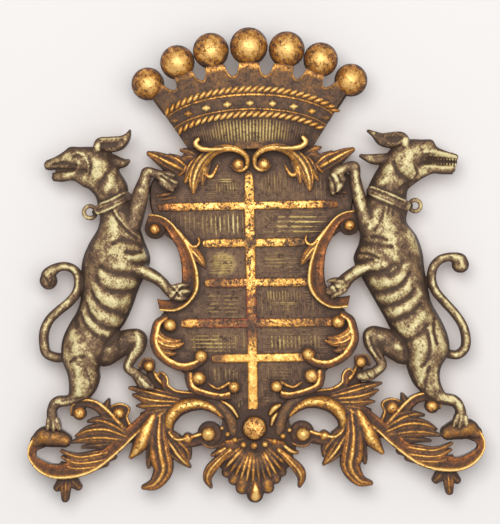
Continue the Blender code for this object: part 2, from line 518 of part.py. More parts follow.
def carve_shield(carving):
    """The shield with its bars, crest scrolls and side scrolls."""
    carve_ground(carving)
    carve_bar(carving, UPRIGHT_BAR)
    for (x1, y1), (x2, y2), half in CROSS_BARS:
        end = half * BAR_END_SHARE
        carve_bar(carving, ((x1, y1, end), (x1 + BAR_TAPER, y1, half),
                            (x2 - BAR_TAPER, y2, half), (x2, y2, end)))
    stroke(carving, CREST_SCROLL, LEAF_TOP, ROUND, both=True)
    boss(carving, on_sheet(*CREST_BALL[:2]), CREST_BALL[2], LEAF_TOP, both=True)
    for rows in (*CREST_TIPS, CREST_HOOK, *CORNER_TIPS, *FLAME_TIPS):
        stroke(carving, rows, LEAF_TOP, RIDGE, both=True)
    stroke(carving, CROWN_HOOK, CROWN_FRONT, ROUND, both=True)
    for rows in (SIDE_RIBBON, LOWER_RIBBON, FOOT_RIBBON):
        stations(carving, rows, SCROLL_TOP, RIMMED, both=True)
    boss(carving, on_sheet(*SIDE_ROLL[:2]), SIDE_ROLL[2], SCROLL_TOP * 0.8, both=True)
    boss(carving, on_sheet(*SIDE_BOSS[:2]), SIDE_BOSS[2], SCROLL_TOP, both=True)
    for x, y, radius in LOWER_BALLS:
        boss(carving, on_sheet(x, y), radius, SCROLL_TOP * 0.98, both=True)
    for rows in (SIDE_HOOK, *SIDE_BUD, *LOWER_LEAF, FOOT_HOOK):
        stroke(carving, rows, SCROLL_TOP, RIDGE, both=True)


def carve_base(carving):
    """The scrolled leaves below the shield, and the shell between them."""
    stations(carving, BASE_RIBBON, LEAF_TOP, RIMMED_OUT, both=True)
    stroke(carving, BASE_ROLL, LEAF_TOP, ROUND, both=True)
    for rows in (UPPER_LEAF_STEM, UPPER_LEAF_HOOK, ARCH, ARCH_CURL, FAN_STEM, FAN_HOOK):
        stroke(carving, rows, LEAF_TOP, ROUND, both=True)
    for tips in (INNER_LEAF, UPPER_LEAF_TIPS, BOTTOM_LEAF_TIPS, MIDDLE_LEAF_TIPS, FAN_TIPS):
        for rows in tips:
            stroke(carving, rows, LEAF_TOP, RIDGE, both=True)
    for x, y, radius in UPPER_LEAF_BALLS:
        boss(carving, on_sheet(x, y), radius, LEAF_TOP * 0.95, both=True)
    for rows in (*SHELL_TIPS, *SHELL_RIDGES):
        stroke(carving, rows, SHELL_TOP, RIDGE)
    stroke(carving, BEAD_CHAIN, SHELL_TOP, ROUND)
    boss(carving, on_sheet(*SHELL_BOSS[:2]), SHELL_BOSS[2], SHELL_TOP)
    for x, y, radius in SHELL_CUPS:
        boss(carving, on_sheet(x, y), radius, SHELL_TOP * 0.75)
    for x, y, radius in SHELL_BALLS:
        boss(carving, on_sheet(x, y), radius, SHELL_TOP * 0.95)


def carve_hound(carving, torso, neck, skull, jaw, limbs, tuft, collar, collar_ring, lug):
    """A hound standing up against the shield and looking back over its shoulder."""
    for rows in (torso, neck, skull, jaw):
        stations(carving, rows, HOUND_TOP, ROUND)
    for rows in (*limbs, collar, lug):
        stroke(carving, rows, HOUND_TOP, ROUND)
    boss(carving, on_sheet(*tuft[:2]), tuft[2], HOUND_TOP * 0.5)
    x, y, radius = collar_ring
    turns = [math.tau * i / 12 for i in range(13)]
    rows = [(x + radius * math.cos(turn), y + radius * math.sin(turn), RING_WIRE, 1.0) for turn in turns]
    stroke(carving, rows, RING_TOP, ROUND)


for thing in list(bpy.data.objects):
    bpy.data.objects.remove(thing, do_unlink=True)

carved = bmesh.new()
carve_crown(carved)
carve_shield(carved)
carve_base(carved)
carve_hound(carved, LEFT_TORSO, LEFT_NECK, LEFT_SKULL, LEFT_JAW, LEFT_LIMBS, LEFT_TUFT,
            LEFT_COLLAR, LEFT_RING, LEFT_LUG)
carve_hound(carved, RIGHT_TORSO, RIGHT_NECK, RIGHT_SKULL, RIGHT_JAW, RIGHT_LIMBS, RIGHT_TUFT,
            RIGHT_COLLAR, RIGHT_RING, RIGHT_LUG)
for rib in RIBS:
    stroke(carved, rib, HOUND_TOP, ROUND, both=True)
bmesh.ops.recalc_face_normals(carved, faces=carved.faces)
rough = bpy.data.meshes.new("armorial_shield")
carved.to_mesh(rough)
carved.free()
shield = bpy.data.objects.new("armorial_shield", rough)
bpy.context.scene.collection.objects.link(shield)

# One body: the strokes are joined, then the surface is brought down to what they need.
remesh = shield.modifiers.new("join", "REMESH")
remesh.mode = "VOXEL"
remesh.voxel_size = VOXEL
remesh.use_smooth_shade = True
bpy.context.view_layer.update()
full = len(shield.evaluated_get(bpy.context.evaluated_depsgraph_get()).data.polygons) * 2
thin = shield.modifiers.new("simplify", "DECIMATE")
thin.ratio = TRIANGLE_BUDGET / full

# The flat back is cut with a block, so that it is one true plane.
slab = bmesh.new()
bmesh.ops.create_cube(slab, size=2 * HEIGHT)
bmesh.ops.translate(slab, verts=slab.verts, vec=(0, HEIGHT, 0))
slab_mesh = bpy.data.meshes.new("back_cutter")
slab.to_mesh(slab_mesh)
slab.free()
cutter = bpy.data.objects.new("back_cutter", slab_mesh)
bpy.context.scene.collection.objects.link(cutter)
cutter.hide_render = True
cutter.display_type = "WIRE"
flat_back = shield.modifiers.new("flat_back", "BOOLEAN")
flat_back.operation = "DIFFERENCE"
flat_back.solver = "EXACT"
flat_back.object = cutter

giltwood = bpy.data.materials.new("giltwood")
giltwood.use_nodes = True
surface = giltwood.node_tree.nodes["Principled BSDF"]
surface.inputs["Base Color"].default_value = (0.42, 0.25, 0.09, 1.0)
surface.inputs["Metallic"].default_value = 0.6
surface.inputs["Roughness"].default_value = 0.45
shield.data.materials.append(giltwood)
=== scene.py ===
"""Carved armorial shield: a coronet over a scrolled shield, held up by two silvered hounds."""

import math

import bpy
import numpy as np
from mathutils import Matrix, Vector
from mathutils.bvhtree import BVHTree


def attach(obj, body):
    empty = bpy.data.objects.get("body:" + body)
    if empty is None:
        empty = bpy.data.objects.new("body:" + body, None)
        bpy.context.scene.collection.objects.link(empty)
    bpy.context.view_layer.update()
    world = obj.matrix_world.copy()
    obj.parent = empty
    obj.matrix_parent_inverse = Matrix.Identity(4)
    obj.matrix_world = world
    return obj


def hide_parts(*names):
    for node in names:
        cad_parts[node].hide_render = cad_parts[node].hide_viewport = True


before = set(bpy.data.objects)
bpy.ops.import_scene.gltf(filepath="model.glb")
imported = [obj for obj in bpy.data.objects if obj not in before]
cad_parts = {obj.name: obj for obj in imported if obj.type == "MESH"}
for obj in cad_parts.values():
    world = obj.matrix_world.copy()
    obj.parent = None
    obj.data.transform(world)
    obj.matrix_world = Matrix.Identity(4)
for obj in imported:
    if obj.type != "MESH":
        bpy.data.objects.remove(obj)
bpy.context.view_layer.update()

# ---- The shield's face: a swelling ground of gessoed wood behind everything else, left dark
# between the bars. It is carved from the same board as the rest, with a flat back. All places are
# in squares of the carver's drawing sheet, x to the right and y down, and depths are in metres.

SQUARE = 0.600 / 477
MOUNT_X = 253.0
MOUNT_Y = 267.0
LEAN = math.radians(1.1)
BACK_SHARE = 0.82
LEAST_DEPTH = 0.004
GROUND_EDGE = 0.017
GROUND_SIDE = 0.8
GROUND_SWELL = 0.009
GROUND_COLUMNS = 105
GROUND_LEAF = 0.27
SWELL_ACROSS = 105.0
SWELL_ALONG = 185.0
GROUND_HALVES = (
    (122, 62), (110, 72), (98, 90), (84, 101), (66, 102), (50, 98), (38, 92), (24, 76),
    (8, 69), (-10, 67), (-26, 70), (-36, 82), (-48, 94), (-62, 99), (-78, 99), (-92, 91),
    (-104, 73), (-114, 62), (-125, 58), (-136, 48), (-146, 28), (-166, 25),
)


def on_sheet(x, y):
    """Squares to the right of the mount and above it, for places on the leaning sheet."""
    across = np.asarray(x, float) - MOUNT_X
    up = MOUNT_Y - np.asarray(y, float)
    return np.stack([across * math.cos(LEAN) + up * math.sin(LEAN),
                     up * math.cos(LEAN) - across * math.sin(LEAN)], -1)


def away_from(spots, x, y, reach):
    """How far spots are from a place on the sheet, counted in reaches."""
    return np.linalg.norm(spots - on_sheet(x, y), axis=-1) / reach


def smooth_rows(rows, steps):
    """Rows of numbers with a smooth curve through them."""
    rows = np.array(rows, float)
    pad = np.concatenate([rows[:1], rows, rows[-1:]])
    t = (np.arange(steps) / steps)[None, :, None]
    a, b, c, d = (pad[i:len(rows) - 1 + i, None, :] for i in range(4))
    curve = 0.5 * (2 * b + (c - a) * t + (2 * a - 5 * b + 4 * c - d) * t * t
                   + (3 * b - a - 3 * c + d) * t ** 3)
    return np.concatenate([curve.reshape(-1, rows.shape[1]), rows[-1:]])


def waver(spots, pitch, turn=0.0):
    """A gentle unevenness of the gouge, from -1 to 1, at spots in squares."""
    x, z = spots[..., 0] / pitch + turn, spots[..., 1] / pitch - turn
    return (np.sin(x * 6.1 + np.sin(z * 3.7) * 1.9) + np.sin(z * 5.3 + np.sin(x * 4.3) * 2.1)
            + np.sin((x + z) * 8.9 + 1.3)) / 3


def coat(*shares):
    """The finish of points: leaf, warm lacquer, wear and, where it is given, red bole."""
    return np.stack(np.broadcast_arrays(*shares), -1)


def linked(name, data):
    """A new object of the scene that holds a mesh, a lamp or a camera."""
    obj = bpy.data.objects.new(name, data)
    bpy.context.scene.collection.objects.link(obj)
    return obj


def give(mesh, key, kind, values):
    """A point attribute of a mesh, set from an array."""
    field = {"FLOAT": "value", "FLOAT_VECTOR": "vector", "FLOAT_COLOR": "color"}[kind]
    made = mesh.attributes.new(key, kind, "POINT")
    made.data.foreach_set(field, np.asarray(values, np.float32).ravel())


class Carving:
    """Closed skins gathered into one mesh. Each point keeps its finish. Forms are made as drawn
    (1), mirrored for the other half of the shield (-1), or both."""

    def __init__(self, ways=(1,)):
        self.points, self.finish, self.faces, self.caps = [], [], [], []
        self.count, self.skins = 0, 0
        self.flips = [np.array([float(way), 1.0]) for way in ways]

    def skin(self, rings, finish):
        """A closed skin through rings of points (rows, around, 3), turned to face outwards."""
        rows, around = rings.shape[:2]
        at = self.count + np.arange(rows * around).reshape(rows, around)
        nxt = np.roll(at, -1, axis=1)
        quads = np.stack([at[:-1], nxt[:-1], nxt[1:], at[1:]], -1).reshape(-1, 4)
        flat = rings.reshape(-1, 3)
        a, b, c, d = (flat[quads[:, i] - self.count] - flat.mean(0) for i in range(4))
        volume = (np.einsum("ij,ij->", a, np.cross(b, c))
                  + np.einsum("ij,ij->", a, np.cross(c, d)))
        caps = [at[0, ::-1], at[-1]]
        if volume < 0:
            quads, caps = quads[:, ::-1], [cap[::-1] for cap in caps]
        self.points.append(flat)
        finish = np.broadcast_to(finish, (rows, around, np.shape(finish)[-1]))
        self.finish.append(finish.reshape(rows * around, -1))
        self.faces.append(quads)
        self.caps += [cap.tolist() for cap in caps]
        self.count += len(flat)
        self.skins += 1

    def back(self):
        """Each skin ends a hair in front of the flat back, at its own level."""
        return -0.00007 * (self.skins % 9 + 1)

    def piece(self, name, material, sharp=48):
        """The skins as one piece of the carving."""
        mesh = bpy.data.meshes.new(name)
        mesh.from_pydata(np.concatenate(self.points).tolist(), [],
                         np.concatenate(self.faces).tolist() + self.caps)
        obj = linked(name, mesh)
        dress(obj, np.concatenate(self.finish), material, sharp)
        return obj


def dress(obj, finish, material, sharp=48):
    """Gives a mesh its finish, its material and sharp edges, and lists it as a piece."""
    mesh = obj.data
    colours = np.zeros((len(finish), 4))
    colours[:, :finish.shape[1]] = finish
    if "finish" in mesh.attributes:
        mesh.attributes.remove(mesh.attributes["finish"])
    give(mesh, "finish", "FLOAT_COLOR", colours)
    mesh.materials.clear()
    mesh.materials.append(material)
    mesh.shade_smooth()
    mesh.set_sharp_from_angle(angle=math.radians(sharp))
    pieces.append(obj)


def place(spots, depth):
    """Points in metres from spots in squares and a depth in front of the back."""
    depth = np.broadcast_to(depth, spots.shape[:-1])
    return np.stack([spots[..., 0] * SQUARE, -depth, spots[..., 1] * SQUARE], -1)


def ground_depth(spots):
    """The depth of the ground's face: deepest in the middle, and level along its edge."""
    across = np.maximum(0, 1 - (spots[..., 0] / SWELL_ACROSS) ** 2)
    along = np.maximum(0, 1 - (spots[..., 1] / SWELL_ALONG) ** 2)
    return GROUND_EDGE + GROUND_SWELL * across * along


def linear(hex_colour):
    """A colour's sRGB hex value as linear light."""
    parts = [int(hex_colour[i:i + 2], 16) / 255 for i in (1, 3, 5)]
    return tuple(c / 12.92 if c <= 0.04045 else ((c + 0.055) / 1.055) ** 2.4 for c in parts) + (1.0,)


def node(tree, kind, links=None, **settings):
    """One node: settings by attribute name, and by socket where the name starts with in_."""
    made = tree.nodes.new(kind)
    for key, value in settings.items():
        if key == "stops":
            ramp = made.color_ramp
            while len(ramp.elements) < len(value):
                ramp.elements.new(0.5)
            for stop, (position, colour) in zip(ramp.elements, value):
                stop.position = position
                stop.color = colour if isinstance(colour, tuple) else linear(colour)
        elif key.startswith("in_"):
            socket = key[3:]
            socket = int(socket) if socket.isdigit() else socket.replace("_", " ")
            made.inputs[socket].default_value = value
        else:
            setattr(made, key, value)
    for socket, source in (links or {}).items():
        tree.links.new(source, made.inputs[socket])
    return made


def carved_finish(name, body_stops, warm_stops, metal, gloss, blotch, fleck):
    """Burnished leaf over dark size: bright on what stands proud, umber in the hollows, with
    pits and rubbed spots. The two ramps run from bare ground to clean leaf, and metal and gloss
    are the clean leaf's. Blotch and fleck say how much the broad and the fine noise count."""
    material = bpy.data.materials.new(name)
    material.use_nodes = True
    tree = material.node_tree
    shader = tree.nodes["Principled BSDF"]
    where = node(tree, "ShaderNodeTexCoord").outputs["Object"]
    finish = node(tree, "ShaderNodeAttribute", attribute_name="finish").outputs
    share = node(tree, "ShaderNodeSeparateColor", {0: finish["Color"]}).outputs
    proud = node(tree, "ShaderNodeAttribute", attribute_name="proud").outputs["Fac"]

    def noise(size, detail, rough=0.6):
        """Noise from 0 to 1 whose blotches are about size metres across."""
        return node(tree, "ShaderNodeTexNoise", {"Vector": where}, in_Scale=1 / size,
                    in_Detail=detail, in_Roughness=rough).outputs["Fac"]

    def sums(kind, a, b, c=None, clamp=False):
        """One sum of two or three values, each a socket or a number."""
        terms = [(i, term) for i, term in enumerate((a, b, c)) if term is not None]
        links = {i: term for i, term in terms if not isinstance(term, float)}
        values = {f"in_{i}": term for i, term in terms if isinstance(term, float)}
        return node(tree, "ShaderNodeMath", links, operation=kind, use_clamp=clamp,
                    **values).outputs[0]

    def between(value, low, high):
        """0 at low, 1 at high and smooth in between."""
        return node(tree, "ShaderNodeMapRange", {"Value": value}, interpolation_type="SMOOTHSTEP",
                    in_1=low, in_2=high, in_3=0.0, in_4=1.0).outputs[0]

    def mix(share, first, second):
        """A mix of two colours by a share from 0 to 1."""
        return node(tree, "ShaderNodeMix", {0: share, 6: first, 7: second},
                    data_type="RGBA").outputs[2]

    # Blotches of about 9 mm and specks of about 2 mm in the leaf.
    broad = sums("SUBTRACT", noise(0.009, 3.0), 0.5)
    fine = sums("SUBTRACT", noise(0.0022, 3.0, 0.7), 0.5)
    level = sums("MULTIPLY_ADD", proud, 0.9, share["Red"])
    level = sums("MULTIPLY_ADD", broad, blotch, level)
    level = sums("MULTIPLY_ADD", fine, fleck, level)
    # Pits where the leaf has gone, 1.5 mm across and up, thickest on rubbed faces.
    pit_noise = sums("MULTIPLY_ADD", share["Blue"], 0.10, noise(0.0034, 4.0, 0.75))
    pit_noise = sums("MULTIPLY_ADD", broad, -0.35, pit_noise)
    pits = between(pit_noise, 0.62, 0.69)
    level = sums("MULTIPLY_ADD", pits, -0.55, level, clamp=True)
    body = node(tree, "ShaderNodeValToRGB", {0: level}, stops=body_stops).outputs[0]
    warm = node(tree, "ShaderNodeValToRGB", {0: level}, stops=warm_stops).outputs[0]
    colour = mix(share["Green"], body, warm)
    # Red bole shows where the leaf is thin, on the parts that were rubbed most.
    red = sums("MULTIPLY", between(level, 0.10, 0.26), between(level, 0.66, 0.46))
    red = sums("MULTIPLY", red, finish["Alpha"])
    colour = node(tree, "ShaderNodeMix", {0: red, 6: colour}, data_type="RGBA",
                  in_7=linear("#A8402F")).outputs[2]
    # The back and the foot of the sides are bare old wood.
    depth = node(tree, "ShaderNodeSeparateXYZ", {0: where}).outputs["Y"]
    bare = between(sums("MULTIPLY_ADD", fine, 0.003, depth), -0.0045, -0.0015)
    grain = node(tree, "ShaderNodeMapping", {0: where}, in_Scale=(420.0, 420.0, 28.0)).outputs[0]
    grain = node(tree, "ShaderNodeTexNoise", {"Vector": grain}, in_Scale=1.0,
                 in_Detail=3.0).outputs["Fac"]
    wood = node(tree, "ShaderNodeValToRGB", {0: grain},
                stops=((0.3, "#4A3323"), (0.5, "#6B4B32"), (0.72, "#86623F"))).outputs[0]
    colour = mix(bare, colour, wood)
    tree.links.new(colour, shader.inputs["Base Color"])
    leaf = sums("MULTIPLY", between(level, 0.25, 0.75), sums("SUBTRACT", 1.0, bare))
    tree.links.new(sums("MULTIPLY", leaf, metal), shader.inputs["Metallic"])
    rough = 0.78
    tree.links.new(sums("MULTIPLY_ADD", leaf, gloss - rough, rough), shader.inputs["Roughness"])
    bump = node(tree, "ShaderNodeBump", {"Height": sums("MULTIPLY_ADD", pits, -0.8, fine)},
                in_Strength=0.6, in_Distance=0.0005).outputs[0]
    tree.links.new(bump, shader.inputs["Normal"])
    return material


# Water-gilt leaf on red bole over gesso, toned with umber glaze: satin gold with dark hollows.
GILTWOOD = carved_finish(
    "giltwood_burnished_leaf",
    ((0.0, "#48352A"), (0.22, "#644A34"), (0.42, "#835A2E"), (0.60, "#AD782F"),
     (0.80, "#D39A42"), (1.0, "#F2C97A")),
    ((0.0, "#3D281B"), (0.22, "#583620"), (0.42, "#774318"), (0.60, "#9E5A1F"),
     (0.80, "#C68138"), (1.0, "#E9AE5E")),
    0.50, 0.38, 0.8, 0.9)
# The same gilding rubbed thin and dulled by dirt, as on the ground between the bars.
DULL_GILT = carved_finish(
    "giltwood_rubbed_dull",
    ((0.0, "#493528"), (0.24, "#6A4F3B"), (0.42, "#7E6345"), (0.58, "#9A7F4C"),
     (0.78, "#BBA161"), (1.0, "#D6C288")),
    ((0.0, "#402C20"), (0.24, "#60432E"), (0.42, "#775431"), (0.58, "#94703F"),
     (0.78, "#BA9256"), (1.0, "#D8B678")),
    0.25, 0.55, 0.5, 0.7)
pieces = []

ground = Carving()
rows = smooth_rows(GROUND_HALVES, 9)
# Columns from edge to edge, crowded towards the two edges.
place_across = (np.sin(np.linspace(-math.pi / 2, math.pi / 2, GROUND_COLUMNS)) * 0.15
                + np.linspace(-0.85, 0.85, GROUND_COLUMNS))
front = np.stack([rows[:, 1:2] * place_across * 0.985,
                  np.repeat(rows[:, :1], GROUND_COLUMNS, 1)], -1)
edge = np.stack([rows[:, 1], rows[:, 0]], -1)
flip = np.array([-1.0, 1.0])
face_depth = ground_depth(front) + 0.0002 * waver(front, 9)
rings = np.concatenate([
    place(edge[:, None] * flip * (BACK_SHARE, 1), 0.0),
    place(edge[:, None] * flip, GROUND_EDGE * GROUND_SIDE),
    place(front, face_depth),
    place(edge[:, None], GROUND_EDGE * GROUND_SIDE),
    place(edge[:, None] * (BACK_SHARE, 1), 0.0),
], 1)
# Worn patches of the ground: x, y, reach, leaf.
WORN_GROUND = ((223, 264, 12, 0.46), (276, 372, 12, 0.22), (246, 404, 8, 0.14), (200, 180, 10, 0.10))
ground_leaf = np.full(rings.shape[:2], GROUND_LEAF)
for x, y, reach, leaf in WORN_GROUND:
    ground_leaf += leaf * np.exp(-away_from(rings[..., [0, 2]] / SQUARE, x, y, reach) ** 4)
ground.skin(rings, coat(ground_leaf, 0.15, 0.3))
shield_ground = ground.piece("shield_ground", DULL_GILT)

# ---- The bars: one upright bar and five cross bars left standing on the ground, with worn bright
# leaf that shows pits and spots of red bole.

BAR_PROUD = 0.0032
BAR_LEAF = 0.73
CLEAN_BELOW = 78.0
CLEAN_FADE = 12.0
UPRIGHT_BAR = ((247.5, 171, 1.0), (249, 181, 4.6), (250, 240, 5.2), (252, 330, 5.0), (253, 409, 5.2))
CROSS_BARS = (
    ((160, 207.5), (336, 204.0), 4.0),
    ((203, 243.5), (305, 242.0), 4.2),
    ((205, 283.0), (317, 282.0), 4.2),
    ((182, 323.5), (335, 322.0), 4.4),
    ((212, 358.5), (320, 357.0), 4.2),
)
# Places where the leaf of a bar is rubbed down to bole or ground: x, y, reach, loss of leaf.
RUBBED = ((250, 243, 6, 0.6), (228, 323, 20, 0.42), (262, 323, 20, 0.35), (205, 323, 9, 0.5),
          (318, 283, 14, 0.2), (296, 243, 10, 0.35), (252, 330, 9, 0.4), (252, 300, 12, 0.35),
          (230, 243, 9, 0.3), (164, 207, 10, 0.35), (330, 204, 12, 0.4), (252, 222, 7, 0.3),
          (190, 206, 10, 0.2), (225, 207, 9, 0.25), (285, 205, 12, 0.2), (216, 283, 9, 0.4),
          (236, 283, 9, 0.3), (282, 283, 10, 0.2), (300, 322, 16, 0.3), (320, 322, 10, 0.4),
          (217, 358, 8, 0.4), (314, 357, 8, 0.5), (252, 262, 10, 0.25), (250, 196, 8, 0.15))
# Where red bole shows: x, y, reach, strength.
BOLE = ((240, 281, 20, 0.5), (252, 308, 24, 0.8), (218, 323, 30, 0.8), (206, 280, 10, 0.4))


def sides(line):
    """Unit steps to the left of a line of spots."""
    ahead = np.gradient(line, axis=0)
    ahead /= np.maximum(np.linalg.norm(ahead, axis=1, keepdims=True), 1e-9)
    return np.stack([-ahead[:, 1], ahead[:, 0]], -1)


def with_sides(columns):
    """Columns across a form, with the first and the last once more for its two sides."""
    return np.concatenate([columns[:, :1], columns, columns[:, -1:]], 1)


def bar(carving, rows):
    """A bar along x, y, half width, with a nearly flat face and eased edges."""
    rows = smooth_rows(rows, 24)
    line = on_sheet(rows[:, 0], rows[:, 1])
    across = np.array([-1, -0.97, -0.9, -0.75, -0.5, -0.2, 0.2, 0.5, 0.75, 0.9, 0.97, 1])
    lift = np.array([-0.0014, -0.0005, 0, 0.0002, 0.0003, 0.0003])
    lift = np.concatenate([lift, lift[::-1]])
    edge_waver = 0.35 * waver(line, 7)[:, None, None]
    spots = line[:, None] + sides(line)[:, None] * (across[:, None] * rows[:, 2][:, None, None])
    spots = spots + sides(line)[:, None] * edge_waver * np.sign(across)[:, None]
    depth = ground_depth(line)[:, None] + BAR_PROUD + lift + 0.0003 * waver(spots, 5)
    low = np.full((len(line), 1), LEAST_DEPTH)
    rings = place(with_sides(spots), np.concatenate([low, depth, low], 1))
    gild = np.full(spots.shape[:2], BAR_LEAF) - 0.26 * np.clip(np.abs(across) * 3 - 2, 0, 1)
    bole = np.zeros(spots.shape[:2])
    for x, y, reach, strength in BOLE:
        bole += strength * np.exp(-away_from(spots, x, y, reach) ** 2) * (0.15 + 0.85 * across ** 4)
    for x, y, reach, loss in RUBBED:
        gild = gild - loss * np.exp(-away_from(spots, x, y, reach) ** 2)
    # The lowest part has kept its leaf.
    clean = np.clip((-spots[..., 1] - CLEAN_BELOW) / CLEAN_FADE, 0, 1)
    streaks = waver(spots * (1, 3), 6.5) * 0.16 + waver(spots, 3.0, 1.0) * 0.08
    streaks = streaks * (1 - 0.6 * clean)
    worn = 0.95 - 0.75 * with_sides(clean)
    gild = np.concatenate([gild[:, :1] * 0.3, gild + streaks, gild[:, -1:] * 0.3], 1)
    bole = np.clip(with_sides(bole), 0, 1)
    # The leaf is warmer towards the ends of the cross bars.
    warm = np.clip(with_sides(np.abs(spots[..., 0]) / 90) ** 3, 0.05, 0.8)
    carving.skin(rings, coat(gild, warm, worn, bole))


bars = Carving()
bar(bars, UPRIGHT_BAR)
for (x1, y1), (x2, y2), half in CROSS_BARS:
    bar(bars, ((x1, y1, half * 0.5), (x1 + 8, y1 + (y2 - y1) * 0.05, half),
               ((x1 + x2) / 2, (y1 + y2) / 2, half), (x2 - 8, y2 - (y2 - y1) * 0.05, half),
               (x2, y2, half * 0.5)))
shield_bars = bars.piece("shield_bars", GILTWOOD)

# ---- The hatching between the bars: small ridges cut in rows, upright or level by panel, whose
# crests are rubbed to a dull gold. One ridge is repeated along every row.

RIDGE_LENGTH = 19
RIDGE_HEIGHT = 0.0012
RIDGE_SUNK = 0.0001
WHOLE_BELOW = 24
WHOLE_LEAF = 0.46
# Panels: x and y range, pitch, whether the ridges stand upright, leaf at left and at right.
HATCHED = (
    (214, 236, 182, 194, 2.6, True, 0.40, 0.60), (218, 236, 179.5, 181.5, 2.4, False, 0.85, 0.85),
    (266, 286, 172, 195, 3, True, 0.48, 0.42),
    (181, 238, 214, 235, 4.4, True, 0.40, 0.92), (261, 318, 217, 231.5, 4.8, False, 0.80, 0.55),
    (211, 235, 256, 273, 2.6, False, 0.52, 0.60), (262, 286, 253, 266, 3.4, False, 0.50, 0.44),
    (207, 240, 296, 312, 4, False, 0.46, 0.46), (268, 300, 290, 301, 2.8, True, 0.62, 0.50),
    (268, 300, 302.5, 304, 1.5, False, 0.72, 0.60), (284, 291, 306, 309, 2.4, False, 0.55, 0.55),
    (302, 313, 292, 304, 3, False, 0.50, 0.40),
    (192, 241, 336, 351, 3.6, False, 0.50, 0.56), (272, 319, 335, 349, 3.8, True, 0.62, 0.50),
    (215, 237, 367, 381, 3.4, True, 0.62, 0.55), (265, 291, 366, 379, 3.4, False, 0.50, 0.40),
    (262, 271, 380, 401, 3, False, 0.42, 0.40), (239, 248, 400, 409, 2.6, True, 0.62, 0.62),
    (181, 208, 251, 262, 3.2, False, 0.34, 0.36), (262, 318, 254, 276, 4.2, False, 0.36, 0.34),
    (186, 242, 176, 198, 4.2, False, 0.32, 0.32), (262, 330, 176, 199, 4.4, True, 0.32, 0.32),
    (208, 244, 290, 317, 4.2, False, 0.34, 0.34), (262, 330, 290, 316, 4.2, True, 0.33, 0.33),
    (190, 244, 330, 353, 4.2, True, 0.32, 0.32), (262, 330, 330, 352, 4.4, False, 0.33, 0.33),
    (205, 244, 364, 398, 4.2, True, 0.32, 0.32), (262, 300, 364, 398, 4.2, True, 0.32, 0.32),
    (172, 243, 212, 238, 4.4, True, 0.32, 0.32), (261, 330, 212, 237, 4.6, False, 0.33, 0.33),
)


def studs_tree():
    """Geometry Nodes: one small rounded body on every point, turned and sized by the point."""
    tree = bpy.data.node_groups.new("rounded_studs", "GeometryNodeTree")
    for name, kind in (("Geometry", "NodeSocketGeometry"), ("Segments", "NodeSocketInt"),
                       ("Rings", "NodeSocketInt"), ("Radius", "NodeSocketFloat"),
                       ("Uneven", "NodeSocketFloat"), ("Material", "NodeSocketMaterial")):
        tree.interface.new_socket(name, in_out="INPUT", socket_type=kind)
    tree.interface.new_socket("Geometry", in_out="OUTPUT", socket_type="NodeSocketGeometry")
    given = node(tree, "NodeGroupInput").outputs
    body = node(tree, "GeometryNodeMeshUVSphere",
                {key: given[key] for key in ("Segments", "Rings", "Radius")}).outputs["Mesh"]
    size, turn = (node(tree, "GeometryNodeInputNamedAttribute", data_type="FLOAT_VECTOR", in_Name=key)
                  for key in ("size", "turn"))
    least = node(tree, "ShaderNodeMath", {1: given["Uneven"]}, operation="SUBTRACT", in_0=1.0).outputs[0]
    random = node(tree, "FunctionNodeRandomValue", {"Min": least}, data_type="FLOAT_VECTOR", in_Seed=7)
    random.inputs["Max"].default_value = (1.0, 1.0, 1.0)
    sized = node(tree, "ShaderNodeVectorMath", {0: size.outputs[0], 1: random.outputs[0]},
                 operation="MULTIPLY").outputs[0]
    laid = node(tree, "GeometryNodeInstanceOnPoints",
                {"Points": given["Geometry"], "Instance": body, "Rotation": turn.outputs[0],
                 "Scale": sized}).outputs[0]
    real = node(tree, "GeometryNodeRealizeInstances", {0: laid}).outputs[0]
    made = node(tree, "GeometryNodeSetMaterial", {"Geometry": real, "Material": given["Material"]})
    node(tree, "NodeGroupOutput", {0: made.outputs[0]})
    return tree


STUDS = studs_tree()
STUD_INPUTS = {item.name: item.identifier for item in STUDS.interface.items_tree
               if item.item_type == "SOCKET" and item.in_out == "INPUT"}


def studs(name, spots, depth, size, angle, finish, material, segments=8, rings=6, uneven=0.12):
    """Rounded bodies at spots in squares: size is (length, width, height) in squares and metres,
    and angle turns the length round from level, in radians."""
    count = len(spots)
    mesh = bpy.data.meshes.new(name)
    mesh.from_pydata(place(spots, depth).tolist(), [], [])
    length, width, height = (np.broadcast_to(np.asarray(part, float), count) for part in size)
    sizes = np.stack([length * SQUARE, height, width * SQUARE], -1)
    turns = np.stack([np.zeros(count), -np.broadcast_to(angle, count), np.zeros(count)], -1)
    give(mesh, "size", "FLOAT_VECTOR", sizes)
    give(mesh, "turn", "FLOAT_VECTOR", turns)
    give(mesh, "finish", "FLOAT_COLOR",
         np.concatenate([np.broadcast_to(finish, (count, 3)), np.zeros((count, 1))], 1))
    source = linked(name + "_points", mesh)
    modifier = source.modifiers.new("studs", "NODES")
    modifier.node_group = STUDS
    for key, value in (("Segments", segments), ("Rings", rings), ("Radius", 1.0),
                       ("Uneven", uneven), ("Material", material)):
        modifier[STUD_INPUTS[key]] = value
    graph = bpy.context.evaluated_depsgraph_get()
    made = bpy.data.meshes.new_from_object(source.evaluated_get(graph), depsgraph=graph)
    made.name = name
    source.modifiers.remove(modifier)
    bpy.data.objects.remove(source)
    obj = linked(name, made)
    kept = np.empty(len(made.vertices) * 4, np.float32)
    made.attributes["finish"].data.foreach_get("color", kept)
    kept = kept.reshape(-1, 4)[:, :3].astype(float)
    for key in ("size", "turn"):
        if key in made.attributes:
            made.attributes.remove(made.attributes[key])
    dress(obj, kept, material, 80)
    return obj


